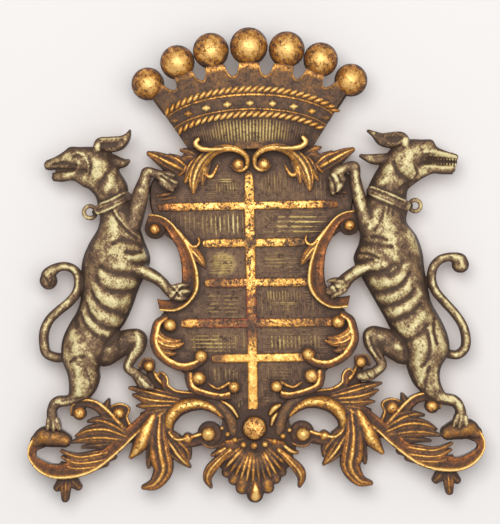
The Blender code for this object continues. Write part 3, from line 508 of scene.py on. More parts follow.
# Short or bright rows are cut whole, and the others in parts.
ridge_spots, ridge_sizes, ridge_turns, ridge_finish = [], [], [], []
chance = np.random.default_rng(11)
for x1, x2, y1, y2, pitch, upright, left, right in HATCHED:
    across, along = (x2 - x1, y2 - y1) if upright else (y2 - y1, x2 - x1)
    count = max(2, round(across / pitch) + 1)
    whole = (upright and along < WHOLE_BELOW) or left > WHOLE_LEAF
    parts = 1 if whole else max(1, round(along / RIDGE_LENGTH))
    for i in range(count):
        for j in range(parts):
            off = i / (count - 1)
            down = (j + 0.5) / parts + chance.uniform(-0.04, 0.04) / parts
            x, y = ((x1 + off * across, y1 + down * along) if upright
                    else (x1 + down * along, y1 + off * across))
            ridge_spots.append(on_sheet(x, y))
            ridge_sizes.append((along / parts * chance.uniform(0.54, 0.62),
                                min(pitch * 0.36, 1.5)))
            ridge_turns.append(math.pi / 2 + LEAN if upright else -LEAN)
            leaf = left + (right - left) * (x - x1) / (x2 - x1)
            ridge_finish.append((leaf + chance.uniform(-0.10, 0.10), 0.1, 0.55))
ridge_spots, ridge_sizes = np.array(ridge_spots), np.array(ridge_sizes)
shield_hatching = studs("shield_hatching", ridge_spots, ground_depth(ridge_spots) - RIDGE_SUNK,
                        (ridge_sizes[:, 0], ridge_sizes[:, 1], RIDGE_HEIGHT),
                        np.array(ridge_turns), np.array(ridge_finish), DULL_GILT)

# ---- The scrolls round the shield: ribbons with a thin bright rim and a hollow, lacquered face,
# ending in rolls and round bosses, with small leaves that spring from them.

SCROLL_TOP = 0.034
LEAF_TOP = 0.031
CROWN_FRONT = 0.046
# A stroke's rounded end: how far out its last rows stand, and how wide they are, in half widths.
END_REACH = (0.45, 0.8, 0.95)
END_WIDTH = (0.88, 0.58, 0.2)


def mirrored(half):
    """A whole section from its half, which runs from one edge to the middle."""
    return *half, *((-u, fall, leaf, warm) for u, fall, leaf, warm in reversed(half[:-1]))


# Sections across a stroke: place from edge to edge, fall below the top in half widths, leaf, warm.
ROUND = mirrored(((-1, 1.0, 0.1, 0.7), (-0.9, 0.56, 0.35, 0.6), (-0.6, 0.2, 0.6, 0.4),
                  (-0.25, 0.03, 0.85, 0.2), (0, 0, 0.95, 0.1)))
LEAF = ((-1, 0.9, 0.2, 0.8), (-0.93, 0.42, 0.5, 0.5), (-0.8, 0.2, 0.8, 0.3), (-0.66, 0.24, 0.55, 0.5),
        (-0.52, 0.48, 0.2, 0.9), (-0.38, 0.2, 0.5, 0.6), (-0.2, 0.02, 0.9, 0.2), (0.02, 0.0, 0.9, 0.1),
        (0.14, 0.1, 0.6, 0.4), (0.26, 0.4, 0.2, 0.9), (0.38, 0.16, 0.6, 0.5), (0.54, 0.12, 0.8, 0.3),
        (0.66, 0.42, 0.25, 0.9), (0.8, 0.24, 0.75, 0.4), (0.92, 0.42, 0.5, 0.5), (1, 0.9, 0.2, 0.8))
RIBBON = ((-1, 0.9, 0.1, 1), (-0.93, 0.55, 0.35, 0.9), (-0.8, 0.44, 0.5, 1), (-0.66, 0.54, 0.38, 1),
          (-0.5, 0.5, 0.55, 1), (-0.32, 0.62, 0.34, 1), (-0.12, 0.55, 0.5, 0.9), (0.1, 0.64, 0.34, 1),
          (0.3, 0.52, 0.48, 0.9), (0.48, 0.44, 0.42, 0.8), (0.6, 0.18, 0.7, 0.4), (0.73, 0.02, 0.92, 0.15),
          (0.84, 0.0, 1, 0), (0.93, 0.1, 0.8, 0.2), (1, 0.6, 0.3, 0.6))
CRESTED = ((-1, 0.9, 0.1, 0.8), (-0.8, 0.5, 0.22, 0.8), (-0.35, 0.3, 0.3, 0.9), (-0.05, 0.22, 0.34, 0.9),
           (0.2, 0.06, 0.75, 0.6), (0.48, 0.0, 1, 0.3), (0.76, 0.04, 0.85, 0.3), (0.9, 0.25, 0.4, 0.7),
           (1, 0.7, 0.2, 0.7))
EDGED = ((-1, 0.9, 0.1, 0.8), (-0.8, 0.5, 0.25, 0.8), (-0.4, 0.34, 0.3, 0.8), (0, 0.42, 0.26, 0.8),
         (0.22, 0.5, 0.3, 0.9), (0.38, 0.24, 0.65, 0.6), (0.56, 0.0, 1, 0.2), (0.8, 0.03, 1, 0.1),
         (0.93, 0.2, 0.7, 0.3), (1, 0.6, 0.2, 0.6))

# Strokes: x, y, half width, share of the top depth. The ribbons give x and y of both edges, and
# the bosses give x, y, radius.
CREST_SCROLL = ((247.5, 164, 2, 1.2), (246.5, 157, 2.4, 1.3), (239, 151, 2.9, 1.4), (228, 148.5, 3.6, 1.42),
                (215, 151, 5, 1.34), (205.5, 158, 6.4, 1.15), (198, 169, 7.2, 1), (194, 182, 5.6, 0.95),
                (193.5, 192, 2, 0.85))
CREST_LIP = ((247.5, 160, 1.8, 1.2), (247, 166.5, 1.9, 1.15), (242, 170.5, 1.8, 1.1), (235.5, 170, 1.6, 1),
             (231.5, 166, 1.1, 0.95))
CREST_BALL = (238.5, 164.5, 6.2)
CREST_TIPS = (((206, 155, 3.4, 0.9), (194, 166, 6, 0.9), (185.5, 182, 2, 0.8)),
              ((211, 156, 3.4, 0.95), (204.5, 170, 5.2, 0.95), (202.5, 184, 1.8, 0.85)))
CREST_HOOK = ((212, 156, 2, 0.9), (205, 167, 3, 0.95), (206, 175, 2.6, 0.9), (212, 176, 2.2, 0.9),
              (218, 165, 1.2, 0.8))
CROWN_HOOK = ((222, 149.5, 1.4, 1), (210, 150, 2, 1), (201, 149, 2.6, 1), (196, 144.5, 2.6, 1),
              (198.5, 140, 2, 1))
TWIGS = (((157, 196, 0.8, 0.72), (166, 194.5, 1.8, 0.76), (176, 191.5, 0.8, 0.74)),
         ((160, 200, 0.7, 0.72), (168, 198.5, 1.3, 0.75), (176, 197, 0.7, 0.74)),
         ((178, 176, 0.8, 0.72), (183, 172, 1.8, 0.8), (186, 166, 1, 0.8)))
CORNER_TIPS = (((200, 158, 5, 0.8), (190, 152, 4.5, 0.8), (181, 150, 1.5, 0.72)),
               ((200, 160, 5, 0.8), (190, 157, 4.5, 0.78), (184, 158, 1.5, 0.7)))
FLAME_TIPS = (((184, 171, 9, 0.72), (169, 163.5, 8.5, 0.8), (157, 157, 5.6, 0.78), (149, 153.5, 2.8, 0.7)),
              ((188, 169, 7, 0.72), (179, 161, 5.5, 0.75), (170, 155.5, 2.4, 0.7)))
SIDE_RIBBON = (
    (146, 222, 149, 214, 0.80), (158, 223, 160, 215.5, 0.88), (166, 229, 170, 221, 0.94),
    (172, 239, 179, 231, 1), (178, 250, 188, 244, 1), (181, 262, 195, 260, 1),
    (182, 275, 199, 277, 1), (181, 287, 198, 291, 1), (176, 296, 190, 303, 0.97),
    (168, 300, 177, 311, 0.92), (157, 299, 160, 311, 0.85),
)
SIDE_ROLL = (155, 228.5, 10.5)
SIDE_BOSS = (155, 229, 5.5)
SIDE_HOOK = ((178, 230, 0.9, 0.95), (186, 240, 1.5, 0.98), (192, 246.5, 1.7, 0.98), (197, 246, 1.5, 0.94),
             (199.5, 242, 1.3, 0.92), (198.5, 238, 1, 0.9))
SIDE_BUD = (((187, 245, 2.5, 0.9), (195, 253, 5, 0.97), (202, 262, 3.6, 0.9), (205, 267, 1.2, 0.8)),)
LOWER_RIBBON = (
    (167, 313, 168, 319, 0.80), (155, 320, 162, 324, 0.90), (151, 331, 160, 331, 0.96),
    (150, 343, 158.5, 341, 1), (155, 355, 162.5, 350, 1), (166, 365, 170.5, 358, 0.98),
    (180, 371, 182, 362.5, 0.94), (193, 370, 192.5, 361, 0.92), (203, 364, 200, 357, 0.92),
)
LOWER_BALLS = ((170, 325, 7), (201, 356.5, 7), (199, 378, 7.5), (234, 387, 6))
LOWER_LEAF = (((156, 326, 2.5, 0.9), (160, 336, 4.2, 0.97), (170, 341, 3.6, 0.92), (180, 340.5, 1.4, 0.8)),
              ((154, 334, 2.5, 0.92), (162, 343, 4.4, 0.98), (174, 346, 3.6, 0.92), (183, 343.5, 1.4, 0.8)),
              ((155, 342, 2.5, 0.92), (162, 350, 4, 0.93), (171, 353.5, 2.8, 0.86), (176, 353, 1.2, 0.78)))
FOOT_RIBBON = (
    (184, 370, 193, 373, 0.80), (185.5, 382, 193, 381, 0.85), (190, 391, 197, 386.5, 0.88),
    (204, 397, 208, 390.5, 0.88), (219, 400, 221, 393, 0.88), (231, 399, 230, 391, 0.90),
)
FOOT_HOOK = ((209, 384, 1.4, 0.75), (218, 388.5, 1.6, 0.8), (229, 383, 1.8, 0.86))


def cut_section(section, count=27):
    """A section's columns at closer places, crowded towards its two edges."""
    u = np.linspace(-1, 1, count)
    u = 0.7 * u + 0.3 * np.sin(u * math.pi / 2)
    table = np.array(section, float)
    return u, *(np.interp(u, table[:, 0], table[:, i]) for i in (1, 2, 3))


def sweep(carving, left, right, top, section, leaf=1.0, warm=1.0, worn=0.25, shape=1.0):
    """A carved form between two edges, with its section pressed in below the top depth."""
    u, fall, gild, tone = cut_section(section)
    middle, reach = (left + right)[:, None] / 2, (right - left)[:, None] / 2
    spots = middle + reach * u[:, None]
    half = np.linalg.norm(reach, axis=-1) * SQUARE
    depth = top[:, None] - half * fall * shape + 0.00025 * waver(spots, 6, carving.skins)
    depth = np.maximum(depth, LEAST_DEPTH)
    tail = np.full((len(left), 1), -carving.back())
    ring = place(np.concatenate([middle - reach * BACK_SHARE, spots, middle + reach * BACK_SHARE], 1),
                 np.concatenate([tail, depth, tail], 1))
    finish = coat(gild * leaf, np.clip(tone * warm, 0, 1), np.full(depth.shape, worn))
    foot = np.broadcast_to((0.05, 0.8, 0.0), (len(left), 1, 3))
    carving.skin(ring, np.concatenate([foot, finish, foot], 1))


def steps_for(rows):
    """How many steps bring the longest stretch between two rows under about one square."""
    longest = np.linalg.norm(np.diff(np.array(rows, float)[:, :2], axis=0), axis=1).max()
    return max(4, round(longest / 0.95))


def stroke(carving, rows, top, section, **how):
    """A stroke along x, y, half width, share of depth, with its ends rounded off."""
    rows = smooth_rows(rows, steps_for(rows))
    line = on_sheet(rows[:, 0], rows[:, 1])
    half, depth = rows[:, 2], rows[:, 3] * top
    for end, way in ((0, -1), (-1, 1)):
        step = line[end] - line[end - way]
        step = step / max(np.linalg.norm(step), 1e-9)
        reach, width = np.array(END_REACH)[::way], np.array(END_WIDTH)[::way]
        extra = (line[end] + step * (reach * half[end])[:, None], width * half[end],
                 depth[end] - half[end] * SQUARE * (1 - width) * 0.8)
        line, half, depth = (np.concatenate((drawn, added)[::way])
                             for drawn, added in zip((line, half, depth), extra))
    side = sides(line) * half[:, None]
    for flip in carving.flips:
        sweep(carving, (line - side) * flip, (line + side) * flip, depth, section, **how)


def stations(carving, rows, top, section, **how):
    """A form whose two edges are given at each station: x1, y1, x2, y2, share of depth."""
    rows = smooth_rows(rows, steps_for(rows))
    left, right = on_sheet(rows[:, 0], rows[:, 1]), on_sheet(rows[:, 2], rows[:, 3])
    for flip in carving.flips:
        sweep(carving, left * flip, right * flip, rows[:, 4] * top, section, **how)


def boss(carving, x, y, radius, top, dome=1.0, leaf=0.92, warm=0.6, worn=0.6):
    """A round boss with a domed front, from the back up."""
    reach = np.array([0.03, 0.2, 0.38, 0.55, 0.7, 0.82, 0.91, 0.97, 1.0, 1.0, 0.94])
    fall = (1 - np.sqrt(np.maximum(0, 1 - reach ** 2))) * radius * SQUARE * dome
    sides_round = 30
    turns = np.arange(sides_round) / sides_round * math.tau
    circle = np.stack([np.cos(turns), np.sin(turns)], -1)
    gild = leaf * np.array([1, 0.98, 0.93, 0.86, 0.77, 0.66, 0.54, 0.4, 0.25, 0.12, 0.05])
    for flip in carving.flips:
        spots = (on_sheet(x, y) + circle * reach[:, None, None] * radius) * flip
        depth = top - fall[:, None] + 0.0002 * waver(spots, 5, carving.skins)
        depth[-2], depth[-1] = depth[-3] - 0.002, -carving.back()
        finish = coat(np.repeat(gild[:, None], sides_round, 1), warm, worn)
        carving.skin(place(spots, depth), finish)


def blurred(field, mask, radius, times=2):
    """A box blur of a grid that only counts the cells inside the mask."""
    value, weight = np.where(mask, field, 0.0), mask.astype(float)
    for _ in range(times):
        for axis in (0, 1):
            pad = [(radius + 1, radius) if a == axis else (0, 0) for a in (0, 1)]
            both = []
            for data in (value, weight):
                total = np.cumsum(np.pad(data, pad), axis=axis)
                at = np.arange(data.shape[axis])
                both.append((np.take(total, at + 2 * radius + 1, axis=axis)
                             - np.take(total, at, axis=axis)) / (2 * radius + 1))
            value, weight = both
    return value / np.maximum(weight, 1e-6)


# Pieces end at the flat back in steps of a tenth of a millimetre. Rays that read the rough front
# start well in front of it, and the back is filled with fans of eight by eight squares.
BACK_STEP = 0.0001
RAY_START = -0.2
FAN = 8


def back_fans(free, slot):
    """Fans that fill the whole blocks of a grid. Their squares are then no longer free."""
    ring = ([(k, 0) for k in range(FAN)] + [(FAN, k) for k in range(FAN)]
            + [(FAN - k, FAN) for k in range(FAN)] + [(0, FAN - k) for k in range(FAN)])
    fans = []
    for a in range(0, free.shape[0] - FAN, FAN):
        for b in range(0, free.shape[1] - FAN, FAN):
            if free[a:a + FAN, b:b + FAN].all():
                free[a:a + FAN, b:b + FAN] = False
                around = [int(slot[a + da, b + db]) for da, db in ring]
                middle = int(slot[a + FAN // 2, b + FAN // 2])
                fans += [[middle, around[k + 1 - len(ring)], around[k]] for k in range(len(ring))]
    return fans


def relief(name, rough, material, cuts=(), pitch=0.5, soft=0.6, rub=1.0, edge=0.1):
    """The rough skins worked over as one carved surface: their front is read on a grid, the joints are eased,
    gouge cuts are made and patches of painted shade and painted highlight are laid on the leaf, and the mesh
    runs back to a flat back."""
    points, finish = np.concatenate(rough.points), np.concatenate(rough.finish)
    faces = np.concatenate(rough.faces).tolist() + rough.caps
    corner = np.array([face[0] for face in faces])
    tree = BVHTree.FromPolygons(points.tolist(), faces)
    low, high = points.min(0), points.max(0)
    step = pitch * SQUARE
    xs = np.arange(low[0] - 3 * step, high[0] + 4 * step, step)
    zs = np.arange(low[2] - 3 * step, high[2] + 4 * step, step)
    near = np.zeros((len(xs), len(zs)), bool)
    near[np.round((points[:, 0] - xs[0]) / step).astype(int),
         np.round((points[:, 2] - zs[0]) / step).astype(int)] = True
    near = blurred(near, np.ones_like(near), round(2.6 / pitch), 1) > 1e-9
    depth, hit_face = np.zeros(near.shape), np.zeros(near.shape, int)
    for i, j in np.argwhere(near):
        place_hit, _, index, _ = tree.ray_cast((xs[i], RAY_START, zs[j]), (0, 1, 0))
        if place_hit is not None:
            depth[i, j], hit_face[i, j] = -place_hit.y, index
    inside = depth > 0
    tone = finish[corner[hit_face]] * inside[..., None]
    tone = np.stack([blurred(tone[..., k], inside, 1, 1) for k in range(3)], -1)
    for radius in (1, 2):
        eased = blurred(depth, inside, radius)
        share = np.where(eased > depth, soft, soft * 0.35)
        depth = np.where(inside, depth + (eased - depth) * share, 0)
    grid_x, grid_z = np.meshgrid(xs, zs, indexing="ij")
    spots = np.stack([grid_x, grid_z], -1) / SQUARE
    ragged = 0.8 + 0.35 * waver(spots, 3.1) + 0.3 * waver(spots, 1.2, 2.0)
    # Each cut changes depth and leaf; the shade marks among them paint the leaf darker as painted shade, and
    # the pale mark paints a highlight.
    for (lift, change), rows in cuts:
        rows = smooth_rows(rows, 10)
        line = on_sheet(rows[:, 0], rows[:, 1])
        reach = np.abs(line - line.mean(0)).max() + 12
        by_cut = (np.abs(spots - line.mean(0)).max(-1) < reach) & inside
        away = np.linalg.norm(spots[by_cut][:, None] - line[None], axis=-1) / rows[:, 2]
        fade = np.exp(-(away.min(1) * (1 + 0.28 * waver(spots[by_cut], 3.6, 1.0))) ** 2 * 0.7)
        depth[by_cut] += lift * fade
        tone[by_cut, 0] += change * fade * ragged[by_cut]
    depth += np.where(inside, 0.0002 * waver(spots, 7) + 0.00012 * waver(spots, 2.6), 0)
    # The leaf is rubbed off the crests and kept dark in the hollows and along the outline.
    cells = 0.72 / pitch
    wide = depth - blurred(depth, inside, round(7 * cells))
    close = depth - blurred(depth, inside, round(2 * cells))
    rim_share = 1 - blurred(inside, np.ones_like(inside), round(3 * cells))
    tone[..., 0] += rub * (np.clip(wide * 55, -0.4, 0.2) + np.clip(close * 170, -0.32, 0.22))
    tone[..., 0] -= edge * np.clip(rim_share * 2.4, 0, 1)
    depth = np.where(inside, np.maximum(depth, LEAST_DEPTH), 0)

    def stands(x, z):
        """Whether the rough skins stand at a place."""
        return tree.ray_cast((x, RAY_START, z), (0, 1, 0))[0] is not None

    # Nodes just outside are drawn in to the true outline, so that the edge isn't stepped.
    outer = np.zeros_like(inside)
    moved = np.zeros(inside.shape + (2,))
    padded = np.pad(inside, 1)
    ways = ((1, 0), (-1, 0), (0, 1), (0, -1), (1, 1), (1, -1), (-1, 1), (-1, -1))
    touching = np.zeros_like(inside)
    for a, b in ways:
        touching |= padded[1 + a:padded.shape[0] - 1 + a, 1 + b:padded.shape[1] - 1 + b]
    for i, j in np.argwhere(touching & ~inside):
        beside = [way for way in ways if padded[i + 1 + way[0], j + 1 + way[1]]]
        beside = [way for way in beside if 0 in way] or beside[:1]
        shift, heights_here, tones_here = [], [], []
        for a, b in beside:
            start, stop = 0.0, 1.0
            for _ in range(4):
                middle = (start + stop) / 2
                if stands(xs[i] + a * middle * step, zs[j] + b * middle * step):
                    stop = middle
                else:
                    start = middle
            shift.append((a * stop, b * stop))
            heights_here.append(depth[i + a, j + b])
            tones_here.append(tone[i + a, j + b])
        moved[i, j] = np.mean(shift, 0) * step * (0.7 if len(beside) > 1 else 1)
        depth[i, j] = max(np.mean(heights_here) - 0.0012, LEAST_DEPTH)
        tone[i, j] = np.mean(tones_here, 0) - (0.12, 0, 0)
        outer[i, j] = True
    used = inside | outer
    corners = [(slice(None, -1), slice(None, -1)), (slice(1, None), slice(None, -1)),
               (slice(1, None), slice(1, None)), (slice(None, -1), slice(1, None))]
    whole = np.logical_and.reduce([used[c] for c in corners])
    some = np.logical_or.reduce([inside[c] for c in corners])
    index = np.cumsum(used).reshape(used.shape) - 1
    quads = np.stack([index[c][whole & some] for c in corners], -1)
    kept, quads = np.unique(quads, return_inverse=True)
    quads = quads.reshape(-1, 4)
    order = np.argwhere(used)[kept]
    i, j = order[:, 0], order[:, 1]
    front = np.stack([xs[i] + moved[i, j, 0], -depth[i, j], zs[j] + moved[i, j, 1]], -1)
    total = len(front)
    ends = np.concatenate([quads[:, [k, (k + 1) % 4]] for k in range(4)])
    _, first, count = np.unique(np.sort(ends, 1), axis=0, return_index=True, return_counts=True)
    border = ends[first[count == 1]]
    rim_nodes = np.unique(border)
    levels = 4
    layers, tones = [front], [tone[i, j]]
    wall = np.zeros((levels + 1, total), int)
    wall[0] = np.arange(total)
    for level in range(1, levels):
        share = level / levels
        wall[level, rim_nodes] = total + (level - 1) * len(rim_nodes) + np.arange(len(rim_nodes))
        layers.append(front[rim_nodes] * (1, 1 - share, 1))
        tones.append(tone[i, j][rim_nodes] * (1 - share, 1, 1) - (0.12 * (1 - share), 0, 0))
    # No two pieces end at the same level of the back, so that none shimmers through another.
    start = sum(len(layer) for layer in layers)
    wall[levels] = start + np.arange(total)
    layers.append(front * (1, 0, 1) - (0, BACK_STEP * (len(pieces) + 1), 0))
    tones.append(np.full((total, 3), 0.1))
    # Where eight by eight squares of the back are whole they become one fan.
    slot = np.full(used.shape, -1)
    slot[i, j] = start + np.arange(total)
    left_over = whole & some
    fans = back_fans(left_over, slot)
    loose = np.stack([slot[c][left_over] for c in reversed(corners)], -1)
    made = [quads]
    for level in range(levels):
        made.append(np.stack([wall[level, border[:, 1]], wall[level, border[:, 0]],
                              wall[level + 1, border[:, 0]], wall[level + 1, border[:, 1]]], -1))
    mesh = bpy.data.meshes.new(name)
    faces = np.concatenate(made).tolist() + loose.tolist() + fans
    used_nodes, flat = np.unique(np.concatenate([np.array(face) for face in faces]),
                                 return_inverse=True)
    sizes = np.cumsum([0] + [len(face) for face in faces])
    faces = [flat[a:b].tolist() for a, b in zip(sizes[:-1], sizes[1:])]
    mesh.from_pydata(np.concatenate(layers)[used_nodes].tolist(), [], faces)
    obj = linked(name, mesh)
    dress(obj, np.concatenate(tones)[used_nodes], material, 65)
    return obj


scrolls = Carving((1, -1))
stroke(scrolls, CREST_SCROLL, LEAF_TOP, LEAF, warm=0.5)
boss(scrolls, *CREST_BALL, LEAF_TOP * 1.15, dome=0.7)
for rows in CREST_TIPS:
    stroke(scrolls, rows, LEAF_TOP, LEAF, warm=0.8)
stroke(scrolls, CREST_HOOK, LEAF_TOP, ROUND)
for rows in (*CORNER_TIPS, *FLAME_TIPS):
    stroke(scrolls, rows, LEAF_TOP, LEAF, leaf=0.75)
stroke(scrolls, CROWN_HOOK, CROWN_FRONT, ROUND)
stations(scrolls, SIDE_RIBBON, SCROLL_TOP, RIBBON, shape=0.8)
for rows in (LOWER_RIBBON, FOOT_RIBBON):
    stations(scrolls, rows, SCROLL_TOP, CRESTED, shape=0.8)
stroke(scrolls, CREST_LIP, LEAF_TOP, ROUND)
for rows in TWIGS:
    stroke(scrolls, rows, LEAF_TOP, ROUND, leaf=0.75, warm=1.4)
boss(scrolls, *SIDE_ROLL, SCROLL_TOP * 0.8, dome=0.5, leaf=0.25)
boss(scrolls, *SIDE_BOSS, SCROLL_TOP, leaf=0.62, warm=1.0)
for x, y, radius in LOWER_BALLS:
    boss(scrolls, x, y, radius, SCROLL_TOP * 0.98, leaf=0.95)
stroke(scrolls, SIDE_HOOK, SCROLL_TOP, ROUND)
stroke(scrolls, FOOT_HOOK, SCROLL_TOP, ROUND)
for rows in (*SIDE_BUD, *LOWER_LEAF):
    stroke(scrolls, rows, SCROLL_TOP, LEAF)
shield_scrolls = relief("shield_scrolls", scrolls, GILTWOOD, pitch=0.58)

# ---- The coronet: a curved band with two twisted ropes and small jewels, a fluted cap below it,
# and seven balls on flaring stalks, all carved in the round at the front.

CROWN_SIDE = 0.020
ROPE_PROUD = 0.0045
BALL_FORWARD = 0.002
CROWN_ANGLE = 66.0
# Curved edges of the band and the ring of the balls: reach to the sides, height, drop.
CROWN_TOP = (99.0, 192.5, 38.0)
UPPER_ROPE = (93.0, 177.0, 38.0)
JEWEL_BAND = (87.0, 163.0, 31.0)
LOWER_ROPE = (79.0, 152.0, 27.5)
CAP_FOOT = (69.0, 118.0, -4.0)
BALL_RING = (116.0, 220.0, 68.0)
BALL_ANGLES = (0.0, 19.0, 38.0, 61.0)
BALL_RADII = (19.0, 18.0, 17.3, 16.5)
BALL_STEPS = 26
BALL_AROUND = 44
STALK_HALF = 6.5
STALK_STEPS = 20
# How far the stalk flares, at shares of the way up to its ball.
STALK_FLARE = ((0, 1.3), (0.3, 1.2), (0.45, 1.1), (0.6, 1.05), (1, 1.2))
ROPE_PITCH = 6.5
BAND_STEPS = 260
STALK_SHARE = 0.60
ARCH_RISE = 12.5
ARCH_DROP = 1.5
CROWN_FOOT_COAT = (0.05, 0.6, 0.0)
# The twisted ropes: a strand's half length, half width and height, and its slant in degrees.
STRAND = (5.4, 2.05, 0.0034)
STRAND_SLANT = 36


def rim(edge, angle):
    """Spots on one of the coronet's curved edges, at angles from its front, in degrees."""
    radius, height, drop = edge
    turn = np.radians(angle)
    return np.stack([radius * np.sin(turn), height - drop * (1 - np.cos(turn))], -1)


def crown_depth(angle):
    """The depth of the band's face, which is deepest at the front."""
    return CROWN_SIDE + (CROWN_FRONT - CROWN_SIDE) * np.cos(np.radians(angle))


crown = Carving()
angles = np.linspace(-CROWN_ANGLE, CROWN_ANGLE, BAND_STEPS)
# Levels up the band between two edges: share of the way, depth, leaf.
LEVELS = (
    (CAP_FOOT, LOWER_ROPE, ((0.0, -0.0055, 0.12), (0.1, -0.005, 0.12), (0.3, -0.0042, 0.14),
                            (0.6, -0.003, 0.14), (0.85, -0.0028, 0.12))),
    (LOWER_ROPE, JEWEL_BAND, ((0.0, 0.0005, 0.15), (0.35, 0.0005, 0.2), (0.42, 0.0022, 0.5),
                              (0.52, 0.0022, 0.5), (0.60, 0.0, 0.12), (1.0, 0.0, 0.12))),
    (JEWEL_BAND, UPPER_ROPE, ((0.5, 0.0004, 0.14), (0.56, 0.0024, 0.55), (0.66, 0.0024, 0.55),
                              (0.72, 0.001, 0.15))),
    (UPPER_ROPE, CROWN_TOP, ((0.0, 0.001, 0.15), (0.35, 0.0006, 0.08), (0.6, 0.0002, 0.06),
                             (0.78, 0.0004, 0.12), (0.86, 0.0014, 0.42), (0.95, 0.0014, 0.40),
                             (1.0, 0.0004, 0.2))),
)
# The top edge dips between the balls, in an arch from stalk to stalk.
ring_angles = np.array(sorted({*BALL_ANGLES, *(-angle for angle in BALL_ANGLES)}))
ball_count = np.interp(angles, ring_angles, np.arange(float(len(ring_angles))))
from_ball = np.abs((ball_count + 0.5) % 1 - 0.5) * 2
from_ball = np.where(np.abs(angles) > BALL_ANGLES[-1], 0.4, from_ball)
from_stalk = np.clip((from_ball - STALK_SHARE) / (1 - STALK_SHARE), 0, 1)
scallop = ARCH_RISE * (1 - np.sqrt(1 - (1 - from_stalk) ** 2)) - ARCH_DROP
to_ball = rim(BALL_RING, angles) - rim(CROWN_TOP, angles)
to_ball /= np.linalg.norm(to_ball, axis=1, keepdims=True)
foot_coat = np.broadcast_to(CROWN_FOOT_COAT, (BAND_STEPS, 3))
band, finish = [place(rim(CAP_FOOT, angles), -crown.back())], [foot_coat]
levels = [(low, high, *level) for low, high, group in LEVELS for level in group]
for low, high, share, lift, leaf in levels:
    spots = rim(low, angles) * (1 - share) + rim(high, angles) * share
    if high is CROWN_TOP:
        spots = spots + to_ball * (scallop * share ** 2)[:, None]
    band.append(place(spots, crown_depth(angles) + lift + 0.0002 * waver(spots, 6)))
    # Painted shade: the leaf fades towards the sides of the band, where it turns away from the light, on top
    # of each level's leaf and its own unevenness.
    leaf_and_side_shade = leaf * (0.55 + 0.45 * np.cos(np.radians(angles * 1.2))) * (1 + 0.5 * waver(spots, 3.4))
    finish.append(coat(leaf_and_side_shade, 0.2, 0.5))
band.append(place(spots, -crown.back()))
finish.append(foot_coat)
crown.skin(np.stack(band, 1), np.stack(finish, 1))
for turn, radius in zip(BALL_ANGLES, BALL_RADII):
    for angle in sorted({turn, -turn}):
        spot, foot = rim(BALL_RING, angle), rim(UPPER_ROPE, angle * 0.96)
        middle = max(crown_depth(angle) - radius * SQUARE * 0.55 + BALL_FORWARD,
                     radius * SQUARE * 0.97)
        tilt = np.linspace(0.04, math.pi - 0.04, BALL_STEPS)[:, None]
        turns = (np.arange(BALL_AROUND) / BALL_AROUND * math.tau)[None]
        spots = spot + np.stack([np.cos(turns) * np.sin(tilt), np.sin(turns) * np.sin(tilt)], -1) * radius
        depth = middle + radius * SQUARE * np.cos(tilt) + 0.0004 * waver(spots, 15, angle)
        away = np.linalg.norm(spots - spot, axis=-1) / radius
        near = np.clip(1.02 - away * 0.66 + 0.30 * away * waver(spots, 11, angle), 0, 0.88)
        crown.skin(place(spots, depth), coat(near, 0.6, 0.2 + 1.1 * away))
        share = np.linspace(0, 1, STALK_STEPS)[:, None]
        line = foot * (1 - share) + spot * share
        flare = np.interp(share[:, 0], *zip(*STALK_FLARE)) * STALK_HALF
        side = (spot - foot) / np.linalg.norm(spot - foot)
        side = np.array([-side[1], side[0]]) * flare[:, None]
        sweep(crown, line - side, line + side, np.full(STALK_STEPS, crown_depth(angle) * 0.96),
              ROUND, leaf=0.18, shape=0.7)
coronet = crown.piece("coronet", GILTWOOD)


def rope_spots(edge, limit):
    """The strands of a rope along a curved edge: spots, depths, slopes and angles."""
    fine = np.linspace(-limit, limit, 2000)
    line = rim(edge, fine)
    run = np.concatenate([[0], np.cumsum(np.linalg.norm(np.diff(line, axis=0), axis=1))])
    at = np.interp(np.arange(ROPE_PITCH / 2, run[-1], ROPE_PITCH), run, fine)
    spots = rim(edge, at)
    ahead = rim(edge, at + 0.5) - rim(edge, at - 0.5)
    return spots, crown_depth(at), np.arctan2(ahead[:, 1], ahead[:, 0]), at


strands = []
for edge in (UPPER_ROPE, LOWER_ROPE):
    spots, depth, slope, at = rope_spots(edge, CROWN_ANGLE)
    # Painted shade: the ropes' leaf fades towards the sides of the band, where they turn away from the light.
    leaf = 0.80 - 0.3 * np.abs(at / CROWN_ANGLE) ** 2
    strands.append((spots, depth + ROPE_PROUD * 0.45, slope + math.radians(STRAND_SLANT), leaf))
spots, depth, slope, leaf = (np.concatenate(part) for part in zip(*strands))
coronet_ropes = studs("coronet_ropes", spots, depth, STRAND, slope, coat(leaf, 0.5, 0.3),
                      GILTWOOD, 12, 8, 0.1)

# Jewels of the band: one upright and one level lozenge each, like small stars.
jewel_at = np.array([-60, -45, -30, -15, 0, 15, 30, 45, 60.0])
# Painted shade: the jewels' leaf is darker towards the sides of the band, where they turn away from the
# light.
jewel_leaf_with_side_shade = np.array([0.3, 0.5, 1, 1, 1, 1, 1, 0.6, 0.3])
spots = np.repeat(rim(JEWEL_BAND, jewel_at), 2, 0)
coronet_jewels = studs("coronet_jewels", spots, np.repeat(crown_depth(jewel_at), 2) + 0.001,
                       (np.tile([4.6, 3.4], len(jewel_at)), np.tile([2.4, 2.6], len(jewel_at)),
                        0.0032),
                       np.tile([0.0, math.pi / 2], len(jewel_at)) + LEAN,
                       coat(np.repeat(jewel_leaf_with_side_shade, 2), 0.1, 0.2), GILTWOOD, 14, 10, 0.2)

